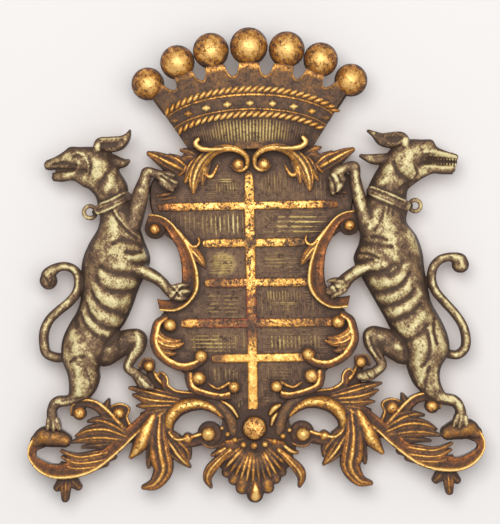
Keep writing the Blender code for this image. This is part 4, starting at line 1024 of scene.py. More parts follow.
# Flutes of the cap: the leaf is bright at the front and fades towards the sides, as painted shade where the
# cap turns away from the light.
flute_at = np.linspace(-50, 50, 41)
flute_mid = rim(CAP_FOOT, flute_at) * 0.42 + rim(LOWER_ROPE, flute_at) * 0.58
lean = rim(LOWER_ROPE, flute_at) - rim(CAP_FOOT, flute_at)
flute_leaf_with_side_shade = 0.48 * np.exp(-(flute_at / 28.0) ** 4) + 0.2
cap_flutes = studs("cap_flutes", flute_mid, crown_depth(flute_at) - 0.0036,
                   (np.linalg.norm(lean, axis=1) * 0.40, 1.15, 0.0016),
                   np.arctan2(lean[:, 1], lean[:, 0]), coat(flute_leaf_with_side_shade, 0.0, 0.4),
                   DULL_GILT, 8, 8, 0.15)

# ---- The base: a long ribbon on each side that rolls up under the hound's foot, with acanthus
# leaves that spring from it, gouged in flutes with bright crests.

RIBBON_OUT = tuple((-u, fall, leaf, warm) for u, fall, leaf, warm in reversed(RIBBON))
BASE_RIBBON = (
    (34, 434, 46, 447, 0.75), (28.5, 446, 37, 451, 0.85), (28, 456, 36, 456, 0.92),
    (33, 466, 42, 460, 0.98), (42, 474, 52, 464, 1), (54, 478.5, 60, 464, 1),
    (68, 479, 68, 462, 1), (83, 476, 81, 460, 1), (97, 470, 93, 455, 1),
    (112, 458.5, 106, 447, 0.98), (127, 445, 120, 434, 0.95), (141, 431, 134, 421, 0.92),
    (157, 418, 150, 408, 0.88), (177, 408, 172, 398, 0.85), (204, 404, 204, 395, 0.80),
)
BASE_ROLL = ((37, 441, 7, 0.85), (44, 437, 10, 1), (54, 437, 10.5, 1), (64, 440, 8, 0.9))
INNER_LEAF = (((118, 450, 3, 0.8), (96, 455, 4.5, 0.92), (78, 457, 4, 0.9), (61, 451, 1.5, 0.78)),
              ((114, 457, 3, 0.85), (94, 462, 4.5, 0.95), (76, 463, 3.6, 0.92), (62, 457, 1.4, 0.8)),
              ((106, 464, 3, 0.85), (88, 468, 4, 0.94), (72, 468, 3, 0.9), (61, 463, 1.2, 0.8)))
UPPER_LEAF_STEM = ((72.5, 414, 2.4, 0.8), (75, 406.5, 3.6, 0.86), (84, 403, 4.6, 0.88),
                   (95, 405, 5, 0.9), (104, 412, 5.5, 0.9), (113, 423, 7, 0.86),
                   (122, 433, 8, 0.8), (134, 436, 7, 0.75))
UPPER_LEAF_BALLS = ((79.5, 413, 7), (119, 413, 6.5), (149, 366, 6), (188, 438, 5.5))
UPPER_LEAF_HOOK = ((113, 408, 3, 0.8), (120, 406, 3, 0.85), (127, 409, 3, 0.82), (124, 417, 4, 0.8),
                   (127, 428, 6, 0.78))
UPPER_LEAF_TIPS = (((104, 416, 5, 0.8), (106, 407, 4.5, 0.8), (108.5, 400, 1.8, 0.7)),
                   ((124, 432, 5, 0.86), (110, 424, 6.5, 0.95), (97, 420.5, 4, 0.85), (88, 421.5, 1.6, 0.72)),
                   ((124, 436, 5, 0.9), (106, 430, 6.5, 0.97), (88, 431, 5, 0.88), (76, 436, 1.5, 0.75)),
                   ((122, 440, 5, 0.88), (102, 438, 5.5, 0.93), (86, 439, 4.5, 0.85), (71, 442.5, 1.4, 0.72)),
                   ((118, 443, 4, 0.8), (102, 445, 4, 0.82), (92, 446, 3, 0.75), (82, 447.5, 1.3, 0.7)))
BOTTOM_LEAF_TIPS = (((68, 474, 6, 0.6), (62, 482, 5.5, 0.72), (57, 488, 4.2, 0.64)),
                    ((66, 474, 6, 0.6), (65.5, 488, 5.2, 0.8), (65, 499, 4, 0.66)),
                    ((66, 474, 6, 0.6), (73, 482, 6, 0.73), (78, 487, 4.2, 0.64)))
MIDRIB = ((-1, 0.8, 0.2, 0.7), (-0.9, 0.35, 0.5, 0.6), (-0.7, 0.14, 0.4, 0.7), (-0.5, 0.18, 0.3, 0.7),
          (-0.3, 0.3, 0.2, 0.8), (-0.16, 0.2, 0.5, 0.5), (-0.07, 0, 1, 0.2), (0.03, 0.07, 0.55, 0.4),
          (0.12, 0.02, 0.95, 0.2), (0.22, 0.2, 0.4, 0.6), (0.35, 0.34, 0.2, 0.8), (0.5, 0.2, 0.5, 0.6),
          (0.62, 0.13, 0.75, 0.4), (0.72, 0.28, 0.3, 0.8), (0.85, 0.22, 0.6, 0.5), (0.93, 0.4, 0.35, 0.6),
          (1, 0.8, 0.2, 0.7))
BRIGHT_LEAF = ((153, 416, 3.5, 0.9), (146.5, 430, 7.2, 1), (140.5, 444, 7.8, 0.97), (131, 457, 2.5, 0.78))
MIDDLE_LEAF = ((160, 416, 6, 0.9), (158.5, 436, 9, 1), (160.5, 455, 11, 1.02), (163, 470, 10, 0.95),
               (155, 483.5, 6.6, 0.86), (143.5, 487.5, 2.6, 0.72))
MIDDLE_LEAF_TIPS = (((158, 436, 5, 0.8), (152.5, 450, 6, 0.84), (149.5, 461, 4, 0.78), (148.5, 467, 2, 0.7)),
                    ((170, 432, 4, 0.85), (180, 442, 6, 0.86), (187, 450, 5, 0.8), (189, 458, 2.5, 0.72)),
                    ((166, 436, 5, 0.86), (175, 450, 7.5, 0.93), (183, 460, 5, 0.86), (190, 467, 1.6, 0.7)))
ARCH = ((170, 433, 3, 0.85), (169.5, 421, 6.5, 1.02), (176, 410.5, 7.8, 1.08), (188, 405, 7.2, 1.08),
        (202, 404.5, 5.6, 1.02), (213, 409, 4, 0.95), (222, 417, 1.6, 0.85))
ARCH_BACK = ((188, 398, 4, 0.7), (205, 399.5, 5.5, 0.78), (220, 405, 7, 0.84), (230, 418, 7.5, 0.84),
             (233, 432, 7, 0.8))
ARCH_CURL = ((164, 424, 4, 0.85), (167, 435, 4.5, 0.9), (176, 443, 5.5, 0.92), (188, 442, 6, 0.92),
             (204, 438, 7, 0.85))
FAN_STEM = ((157, 378, 2.5, 0.75), (161, 374.5, 3, 0.8), (165, 379, 3.4, 0.85), (166, 387, 4, 0.85),
            (176, 394, 4.5, 0.82), (192, 396, 4.5, 0.8), (208, 398, 4, 0.78))
FAN_HOOK = ((141, 368, 2.4, 0.75), (144, 361, 2.6, 0.78), (152, 362, 2.8, 0.78), (151, 372, 4.5, 0.75),
            (156, 384, 7, 0.75), (168, 393, 7, 0.75))
FAN_TIPS = (((178, 399, 4, 0.86), (154, 394, 6.5, 0.9), (140, 390, 4, 0.8), (129.5, 388, 1.6, 0.7)),
            ((180, 402, 4, 0.9), (156, 401, 6.5, 0.94), (142, 398, 4, 0.84), (133, 395, 1.4, 0.7)),
            ((180, 405, 4, 0.9), (158, 406, 5.5, 0.93), (145, 406, 3.5, 0.82), (137, 406, 1.3, 0.7)),
            ((178, 408, 4, 0.86), (158, 411, 4.5, 0.88), (148, 413, 3, 0.78), (141, 414, 1.2, 0.7)))

for side, name in ((1, "base_leaves_left"), (-1, "base_leaves_right")):
    base = Carving((side,))
    stations(base, BASE_RIBBON, LEAF_TOP, RIBBON_OUT, leaf=0.9, shape=0.8)
    stroke(base, BASE_ROLL, LEAF_TOP, ROUND, leaf=0.4, warm=1.2)
    for rows in (UPPER_LEAF_STEM, UPPER_LEAF_HOOK, FAN_STEM, FAN_HOOK):
        stroke(base, rows, LEAF_TOP, EDGED, leaf=0.85)
    stroke(base, ARCH_CURL, LEAF_TOP, EDGED, leaf=0.7)
    stroke(base, ARCH_BACK, LEAF_TOP, ROUND, leaf=0.3)
    stroke(base, ARCH, LEAF_TOP, ROUND, leaf=0.76, warm=1.3, worn=0.7)
    stroke(base, BRIGHT_LEAF, LEAF_TOP, ROUND, leaf=0.9, warm=1.3, shape=0.7)
    stroke(base, MIDDLE_LEAF, LEAF_TOP, MIDRIB, leaf=0.9, shape=0.7)
    for tips, leaf in ((INNER_LEAF, 0.8), (UPPER_LEAF_TIPS, 0.56), (MIDDLE_LEAF_TIPS, 0.75),
                       (FAN_TIPS, 0.68)):
        for rows in tips:
            stroke(base, rows, LEAF_TOP, LEAF, leaf=leaf, shape=1.35)
    for rows in BOTTOM_LEAF_TIPS:
        stroke(base, rows, LEAF_TOP, MIDRIB, leaf=0.55)
    for x, y, radius in UPPER_LEAF_BALLS:
        boss(base, x, y, radius, LEAF_TOP * 0.95, leaf=0.72, warm=0.7)
    relief(name, base, GILTWOOD, pitch=0.55)

# ---- The shell at the foot of the shield: fluted lobes that spread from a round boss, with a
# chain of beads and a cup and ball at each side.

SHELL_TOP = 0.036
SHELL_BOSS = (254.5, 428, 11.5)
SHELL_CUPS = ((210, 434, 12.8), (302, 433, 12.5))
SHELL_BALLS = ((208.5, 434, 7.0), (303, 434, 7.0))
SHELL_HEART = (254.5, 436.0)
# The shell's outline: angle from straight down, in degrees, and distance from its heart.
SHELL_OUTLINE = ((-82, 30), (-66, 44), (-52, 46), (-40, 47), (-28, 46), (-20, 47), (-13, 51), (-5, 55),
                 (0, 57), (8, 55), (15, 51), (25, 47), (35, 46), (50, 46), (62, 44), (80, 30))
SHELL_BED = ((238, 394, 270, 394, 0.6), (226, 404, 283, 404, 0.62), (223, 415, 287, 413, 0.62),
             (221, 428, 291, 426, 0.64), (216, 440, 296, 440, 0.66), (216, 453, 296, 451, 0.66))
SHELL_SHEET = ((-1, 0.16, 0.1, 0.6), (-0.6, 0.1, 0.15, 0.6), (-0.35, 0.03, 0.3, 0.6), (0, 0.0, 0.36, 0.6),
               (0.4, 0.06, 0.34, 0.7), (0.8, 0.14, 0.32, 0.8), (0.95, 0.2, 0.25, 0.8), (1, 0.3, 0.1, 0.8))
SHELL_SCALES = ((-37, 52, 6, 0.64), (37, 51, 6, 0.64), (-25, 55, 7, 0.67), (26, 54, 7, 0.67),
                (-13.5, 61, 7.5, 0.71), (14.5, 60.5, 7.5, 0.71), (0.5, 68, 9.5, 0.76))
SHELL_FLUTES = (-52, -43, -34, -26, -18, -10, -2, 6, 14, 22, 30, 39, 48)
SHELL_HORNS = (((230, 450, 2.5, 0.95), (220, 459, 4.2, 0.92), (210.5, 470, 5.6, 0.86),
                (207.5, 479, 4.4, 0.76), (211, 487, 1.8, 0.65)),
               ((279, 450, 2.5, 0.95), (290, 460, 4.2, 0.92), (299, 470, 5.6, 0.86),
                (301.5, 478, 4.4, 0.76), (299.5, 486, 2, 0.65)))
# The small drop at the foot of the shell.
SHELL_DROP = ((255, 482, 1, 0.8), (255.5, 489, 3.6, 0.88), (255.5, 495, 6, 0.84))
SHELL_LIPS = (((225, 448, 1.6, 0.9), (218, 452.5, 2.6, 0.85), (212, 455, 1.6, 0.75)),
              ((285, 446, 1.6, 0.9), (291, 451, 2.6, 0.85), (297.5, 452.5, 1.6, 0.75)),
              ((199.5, 440, 0.8, 0.66), (205, 445.5, 1.3, 0.68), (213, 447.5, 1.3, 0.68),
               (221, 444, 0.8, 0.66)),
              ((292, 443, 0.8, 0.66), (299, 446, 1.3, 0.68), (307, 445, 1.3, 0.68),
               (312, 440, 0.8, 0.66)))
SHELL_RIDGES = (((221, 400.5, 0.9, 0.78), (231, 407, 2, 0.85), (238, 417, 1, 0.82)),
                ((280, 405, 1.6, 0.8), (274.5, 408, 3.2, 0.86), (270, 414, 1.6, 0.8)),
                ((277, 413, 1, 0.78), (273.5, 418, 2.4, 0.82), (271.5, 425, 1, 0.78)))
BEAD_CHAIN = ((222, 428, 1.8, 0.8), (227.5, 434, 2.4, 0.82), (235, 440, 2.9, 0.84),
              (243.5, 444.5, 3, 0.86), (254, 445.5, 3.5, 0.88), (265, 444, 3.2, 0.86),
              (274.5, 441.5, 3, 0.84), (283, 436, 2.8, 0.82), (289.5, 430, 2.2, 0.8))


def ray_from_heart(angle, reach):
    """A place on the sheet, at an angle from straight down and a distance from the shell's heart."""
    turn = math.radians(angle)
    return SHELL_HEART[0] + math.sin(turn) * reach, SHELL_HEART[1] + math.cos(turn) * reach


shell = Carving()
outline = smooth_rows(SHELL_OUTLINE, 12)
inner = on_sheet(*np.array([ray_from_heart(angle, 8) for angle, _ in outline]).T)
outer = on_sheet(*np.array([ray_from_heart(angle, reach) for angle, reach in outline]).T)
ripple = np.cos(np.interp(outline[:, 0], SHELL_FLUTES, np.arange(len(SHELL_FLUTES)) * math.tau))
stations(shell, SHELL_BED, SHELL_TOP, SHELL_SHEET, leaf=0.6, shape=0.3)
sweep(shell, inner, outer, SHELL_TOP * 0.78 + 0.0008 * ripple, SHELL_SHEET,
      leaf=(0.85 + 0.35 * ripple)[:, None])
for angle, reach, half, share in SHELL_SCALES:
    stroke(shell, ((*ray_from_heart(angle, reach - 26), half * 0.6, share * 0.98),
                   (*ray_from_heart(angle, reach - 14), half, share * 1.04),
                   (*ray_from_heart(angle, reach - half), half * 0.9, share)),
           SHELL_TOP, ROUND, leaf=0.5, warm=1.3, shape=0.6)
for angle in SHELL_FLUTES:
    far = 46 - abs(angle) * 0.12
    stroke(shell, ((*ray_from_heart(angle, 17), 1.2, 0.76), (*ray_from_heart(angle, 24), 2.2, 0.88),
                   (*ray_from_heart(angle, 35), 2.2, 0.87), (*ray_from_heart(angle * 0.99, far), 0.9, 0.78)),
           SHELL_TOP, ROUND, leaf=0.62 + 0.3 * math.sin(angle * 1.7), warm=1.2)
for rows in SHELL_HORNS:
    stroke(shell, rows, SHELL_TOP, LEAF, leaf=0.7)
for rows in (*SHELL_LIPS, *SHELL_RIDGES):
    stroke(shell, rows, SHELL_TOP, ROUND, leaf=0.75)
stroke(shell, SHELL_DROP, SHELL_TOP, ROUND, leaf=0.9, warm=1.4, shape=0.6)
boss(shell, *SHELL_BOSS, SHELL_TOP, dome=0.35, leaf=0.8, worn=1.0)
for x, y, radius in SHELL_CUPS:
    boss(shell, x, y, radius, SHELL_TOP * 0.75, dome=0.4, leaf=0.35)
for x, y, radius in SHELL_BALLS:
    boss(shell, x, y, radius, SHELL_TOP * 0.95)
base_shell = relief("base_shell", shell, GILTWOOD, pitch=0.55)
beads = np.array(BEAD_CHAIN)
shell_beads = studs("shell_beads", on_sheet(beads[:, 0], beads[:, 1]),
                    beads[:, 3] * SHELL_TOP - 0.002,
                    (beads[:, 2], beads[:, 2], beads[:, 2] * SQUARE), 0.0,
                    (0.74, 0.5, 0.4), GILTWOOD, 12, 8, 0.05)

# ---- The hounds: each is carved from the board in high relief, with a lean ribbed body, a collar
# and a looped tail, and is covered in silver leaf under a yellowed varnish.

HOUND_TOP = 0.046
TOOTH_TOP = 0.0225
# The collar rings: height, half thickness of the wire, steps round the ring and round the wire.
RING_TOP = 0.014
RING_WIRE = 2.2
RING_STEPS = 40
WIRE_STEPS = 14
# Sections of the body and of the collar.
BODY = mirrored(((-1, 1.0, 0.45, 0.8), (-0.9, 0.50, 0.6, 0.6), (-0.7, 0.24, 0.75, 0.4),
                 (-0.4, 0.06, 0.95, 0.2), (0, 0, 1, 0.2)))
STRAP = mirrored(((-1, 0.6, 0.3, 0.5), (-0.9, 0.1, 0.9, 0.2), (-0.7, 0.0, 1, 0.1),
                  (-0.55, 0.16, 0.3, 0.5), (-0.3, 0.1, 0.7, 0.3), (0, 0.06, 0.8, 0.2)))

# The torso, neck, skull and jaw give x and y of both edges and a share of the depth; limbs, collar
# and lug give x, y, half width, share; tuft and ring give x, y, radius.
LEFT_HOUND = {
    "torso": (
        (99, 203, 124, 191, 0.72), (100, 215, 130, 205, 0.78), (98, 228, 138, 222, 0.90),
        (88, 245, 144, 240, 1), (81.5, 262, 150, 258, 1), (81, 280, 146, 272, 0.96),
        (80, 300, 138, 290, 0.90), (76, 312, 132, 307, 0.86), (69, 324, 125, 322, 0.88),
        (63, 337, 116, 335, 0.95), (61, 350, 108, 350, 1), (63, 362, 100, 366, 0.96),
        (68, 376, 100, 378, 0.88), (69, 390, 96, 390, 0.80), (68, 398, 90, 398, 0.70)),
    "neck": (
        (98, 206, 128, 196, 0.74), (95, 196, 127, 184, 0.78), (88, 188, 119, 170, 0.84),
        (84, 180, 114, 157, 0.88), (84, 172, 108, 150, 0.84)),
    "skull": (
        (103, 150, 108, 170, 0.76), (93, 147, 97, 174, 0.86), (80, 147, 83, 172, 0.84),
        (70, 147, 72, 170, 0.76), (64, 151.5, 65, 169, 0.70), (56, 156.5, 57, 169, 0.64),
        (46, 160.5, 45.5, 169.5, 0.54)),
    "jaw": (
        (98, 168, 97, 192, 0.78), (86, 168, 84, 187, 0.74), (74, 170, 73, 180.5, 0.66),
        (62, 171.5, 61, 181.5, 0.60), (52, 173, 53, 181, 0.48)),
    "limbs": (
        ((97, 150, 4, 0.86), (101, 144, 6, 0.92), (110, 144.5, 7.5, 0.90), (120, 142.5, 6.5, 0.82),
         (127, 137, 3.6, 0.72), (130, 130.5, 1, 0.62)),
        ((106, 157, 6, 0.62), (116, 162, 6.4, 0.6), (124, 162.5, 4.2, 0.55), (128.5, 160.5, 1.6, 0.5)),
        ((57, 170.8, 2, 0.5), (77, 170, 2.8, 0.55)),
        ((130, 226, 11, 0.85), (137, 208, 9, 0.82), (141, 193, 8, 0.76), (145, 179, 5.8, 0.72),
         (147, 172, 4.8, 0.74), (157, 174, 4.6, 0.78), (167, 179, 6.2, 0.84), (175, 185, 3.5, 0.74)),
        ((118, 266, 10, 0.9), (140, 271, 7.2, 0.82), (152, 275.5, 6.6, 0.8), (162, 282.5, 5.6, 0.8),
         (169, 290, 5.6, 0.86), (177, 293, 8, 0.96), (186, 292, 4.5, 0.86)),
        ((104, 352, 15, 0.72), (120, 344, 13, 0.72), (137, 338, 9, 0.72), (138, 347, 7.5, 0.70),
         (132, 358, 5.4, 0.66), (128, 367, 4.8, 0.66), (136, 374, 5.2, 0.72), (144, 382, 7, 0.82),
         (151, 386, 4, 0.76)),
        ((80, 392, 11, 0.74), (70, 400, 5.4, 0.66), (57, 402.5, 5.8, 0.66), (52, 410, 4.8, 0.66),
         (52.5, 418, 5.4, 0.72), (53.5, 424, 5.6, 0.76)),
        ((49, 419, 2.2, 0.74), (48.5, 425, 2.4, 0.78), (48, 429, 1.6, 0.76)),
        ((53, 419, 2.2, 0.76), (53.5, 426, 2.6, 0.8), (53.5, 430.5, 1.8, 0.77)),
        ((57, 419, 2.2, 0.74), (58.5, 425, 2.4, 0.78), (59.5, 429, 1.6, 0.76)),
        ((160, 175.5, 3.4, 0.8), (168, 174.5, 3.2, 0.84), (173, 175.5, 2, 0.8)),
        ((163, 180, 3.4, 0.82), (171, 181.5, 3.4, 0.86), (176.5, 183, 2.2, 0.8)),
        ((162, 183, 3.4, 0.8), (168, 187, 3.2, 0.84), (172.5, 190, 2, 0.8)),
        ((172, 288, 3, 0.92), (181, 285.5, 2.8, 0.94), (187.5, 285, 1.6, 0.86)),
        ((174, 292, 3, 0.96), (183, 291.5, 2.8, 0.98), (189.5, 291, 1.8, 0.88)),
        ((172, 296, 3, 0.92), (180, 298, 2.8, 0.94), (186, 298, 1.6, 0.86)),
        ((48.8, 165.2, 5, 0.56), (55, 163.5, 5.6, 0.62)),
        ((55, 177.5, 3.6, 0.5), (62, 177, 4.2, 0.56)),
        ((66, 358, 4.5, 0.45), (55, 357.5, 4.8, 0.45), (46, 353, 4.8, 0.45), (43.5, 343, 4.8, 0.45),
         (44, 331, 4.8, 0.45), (49, 320, 4.6, 0.45), (58, 311, 4.6, 0.45), (68, 303, 4.6, 0.45),
         (76, 293, 4.6, 0.45), (78.5, 281, 4.6, 0.45), (75, 271, 4.4, 0.45), (66, 266.5, 4.4, 0.45),
         (56, 268, 4.8, 0.45), (48, 275, 7, 0.50), (48, 283, 7, 0.45))),
    "collar": ((99, 210, 5, 0.62), (104, 207.5, 5.4, 0.77), (113, 203, 5.6, 0.84), (121, 199, 5.4, 0.78),
               (126.5, 196.5, 5, 0.62)),
    "tuft": (48, 280.5, 8.8),
    "ring": (89.5, 212, 6),
    "lug": ((94, 212, 2.6, 0.28), (104, 210, 4, 0.5)),
}
RIGHT_HOUND = {
    "torso": (
        (407, 199, 370, 185, 0.72), (408, 210, 366, 198, 0.78), (407, 222, 361, 215, 0.90),
        (417, 236, 360, 240, 1), (423, 252, 354, 258, 1), (425, 268, 359, 271, 0.96),
        (428, 285, 367, 286, 0.90), (432, 302, 376, 302, 0.86), (439, 315, 383, 314, 0.88),
        (445, 327, 391, 329, 0.95), (449, 340, 399, 341, 1), (449, 353, 405, 356, 0.96),
        (441, 367, 408, 370, 0.88), (440, 380, 414, 384, 0.80), (444, 391, 422, 393, 0.72)),
    "neck": (
        (407, 202, 368, 188, 0.74), (408, 190, 373, 177, 0.78), (415, 182, 380, 165, 0.84),
        (420, 176, 388, 152, 0.88), (420, 168, 396, 145, 0.84)),
    "skull": (
        (400, 143, 395, 165, 0.76), (408, 139.5, 406, 168, 0.86), (422, 139.5, 420, 165, 0.84),
        (432, 140, 431, 162, 0.76), (437, 147, 438, 160, 0.68), (446, 151, 447, 160, 0.62),
        (457, 155, 457, 160, 0.52)),
    "jaw": (
        (405, 162, 409, 188, 0.78), (418, 163, 420, 180, 0.74), (430, 163, 433, 173.5, 0.66),
        (442, 165, 443, 174, 0.60), (454, 164, 453, 174, 0.48)),
    "limbs": (
        ((407, 146, 4, 0.86), (401, 139, 6.5, 0.92), (391, 140, 7.5, 0.90), (382, 139, 6, 0.82),
         (375, 134.5, 3, 0.72), (368, 130.5, 1, 0.62)),
        ((388, 158, 5, 0.62), (374, 159, 5, 0.6), (361, 155.5, 1.6, 0.5)),
        ((370, 228, 11, 0.85), (363, 210, 7.5, 0.82), (358, 193, 6.5, 0.76), (355, 178, 5.6, 0.72),
         (354, 167, 5.4, 0.74), (345, 168, 4.8, 0.78), (337, 174, 6.4, 0.84), (334, 184, 5.6, 0.84),
         (333, 192, 3, 0.74)),
        ((392, 262, 10, 0.9), (375, 265, 7.2, 0.82), (360, 270, 6.4, 0.8), (349, 277, 6.4, 0.8),
         (340, 286, 7.6, 0.96), (330, 291, 4.5, 0.86)),
        ((404, 350, 15, 0.72), (388, 342, 13, 0.72), (373, 335, 9, 0.72), (372, 344, 7.5, 0.70),
         (378, 356, 5.4, 0.66), (382, 365, 4.8, 0.66), (376, 371, 5, 0.72), (368, 375, 6, 0.82),
         (360, 376, 4, 0.76)),
        ((432, 390, 10, 0.74), (442, 398, 6.4, 0.66), (454, 401, 6, 0.66), (460, 408, 5, 0.66),
         (461, 416, 5.2, 0.72), (460, 421, 5.4, 0.76)),
        ((457, 416, 2.2, 0.74), (455, 422, 2.4, 0.78), (453.5, 426, 1.6, 0.76)),
        ((461, 416, 2.2, 0.76), (460, 423, 2.6, 0.8), (459, 427.5, 1.8, 0.77)),
        ((465, 416, 2.2, 0.74), (465.5, 422, 2.4, 0.78), (465.5, 426, 1.6, 0.76)),
        ((341, 172, 3.4, 0.8), (334, 175, 3.2, 0.84), (330, 178, 2, 0.8)),
        ((340, 176, 3.6, 0.82), (334.5, 182, 3.4, 0.86), (331.5, 186.5, 2.2, 0.8)),
        ((342, 179, 3.6, 0.8), (339.5, 186, 3.4, 0.84), (337, 190.5, 2.2, 0.8)),
        ((428, 161, 5, 0.5), (442, 161.5, 5, 0.46), (453.5, 161.5, 4.2, 0.42)),
        ((342, 281, 3, 0.92), (335, 280, 2.8, 0.92), (328.5, 281, 1.6, 0.84)),
        ((342, 286, 3, 0.96), (334, 287, 2.8, 0.98), (327.5, 289, 1.8, 0.86)),
        ((344, 290, 3, 0.92), (337, 293.5, 2.8, 0.94), (332, 297, 1.6, 0.84)),
        ((455.5, 157, 3, 0.54), (451, 156, 3.6, 0.58)),
        ((452, 169, 3.8, 0.5), (445, 169.5, 4.4, 0.56)),
        ((446, 353, 4.5, 0.45), (457, 355, 4.6, 0.45), (465, 349, 4.6, 0.45), (466.5, 338, 4.6, 0.45),
         (463, 325, 4.4, 0.45), (455, 313, 4.4, 0.45), (445, 302, 4.4, 0.45), (436, 291, 4.4, 0.45),
         (432, 279, 4.4, 0.45), (434, 267, 4.4, 0.45), (441, 259.5, 4.4, 0.45), (451, 257, 4.6, 0.45),
         (460, 260, 7, 0.50), (461, 266, 7, 0.45))),
    "collar": ((406, 205.5, 5, 0.62), (399, 203, 5.4, 0.77), (389, 198.5, 5.6, 0.84), (379, 194, 5.4, 0.78),
               (371.5, 190.8, 5, 0.62)),
    "tuft": (461, 264.5, 8.4),
    "ring": (415.5, 205.5, 5.6),
    "lug": ((411, 205.5, 2.6, 0.28), (401, 204, 4, 0.5)),
}

# Gouge cuts in a hound, and broad patches of painted shade and painted highlight on its leaf: lift in metres,
# change of leaf, then x, y, half width along the cut.
GROOVE = (-0.0025, -0.46)
LINE = (-0.0011, -0.36)
SWELL = (0.0017, 0.32)
CREST = (0.0010, 0.40)
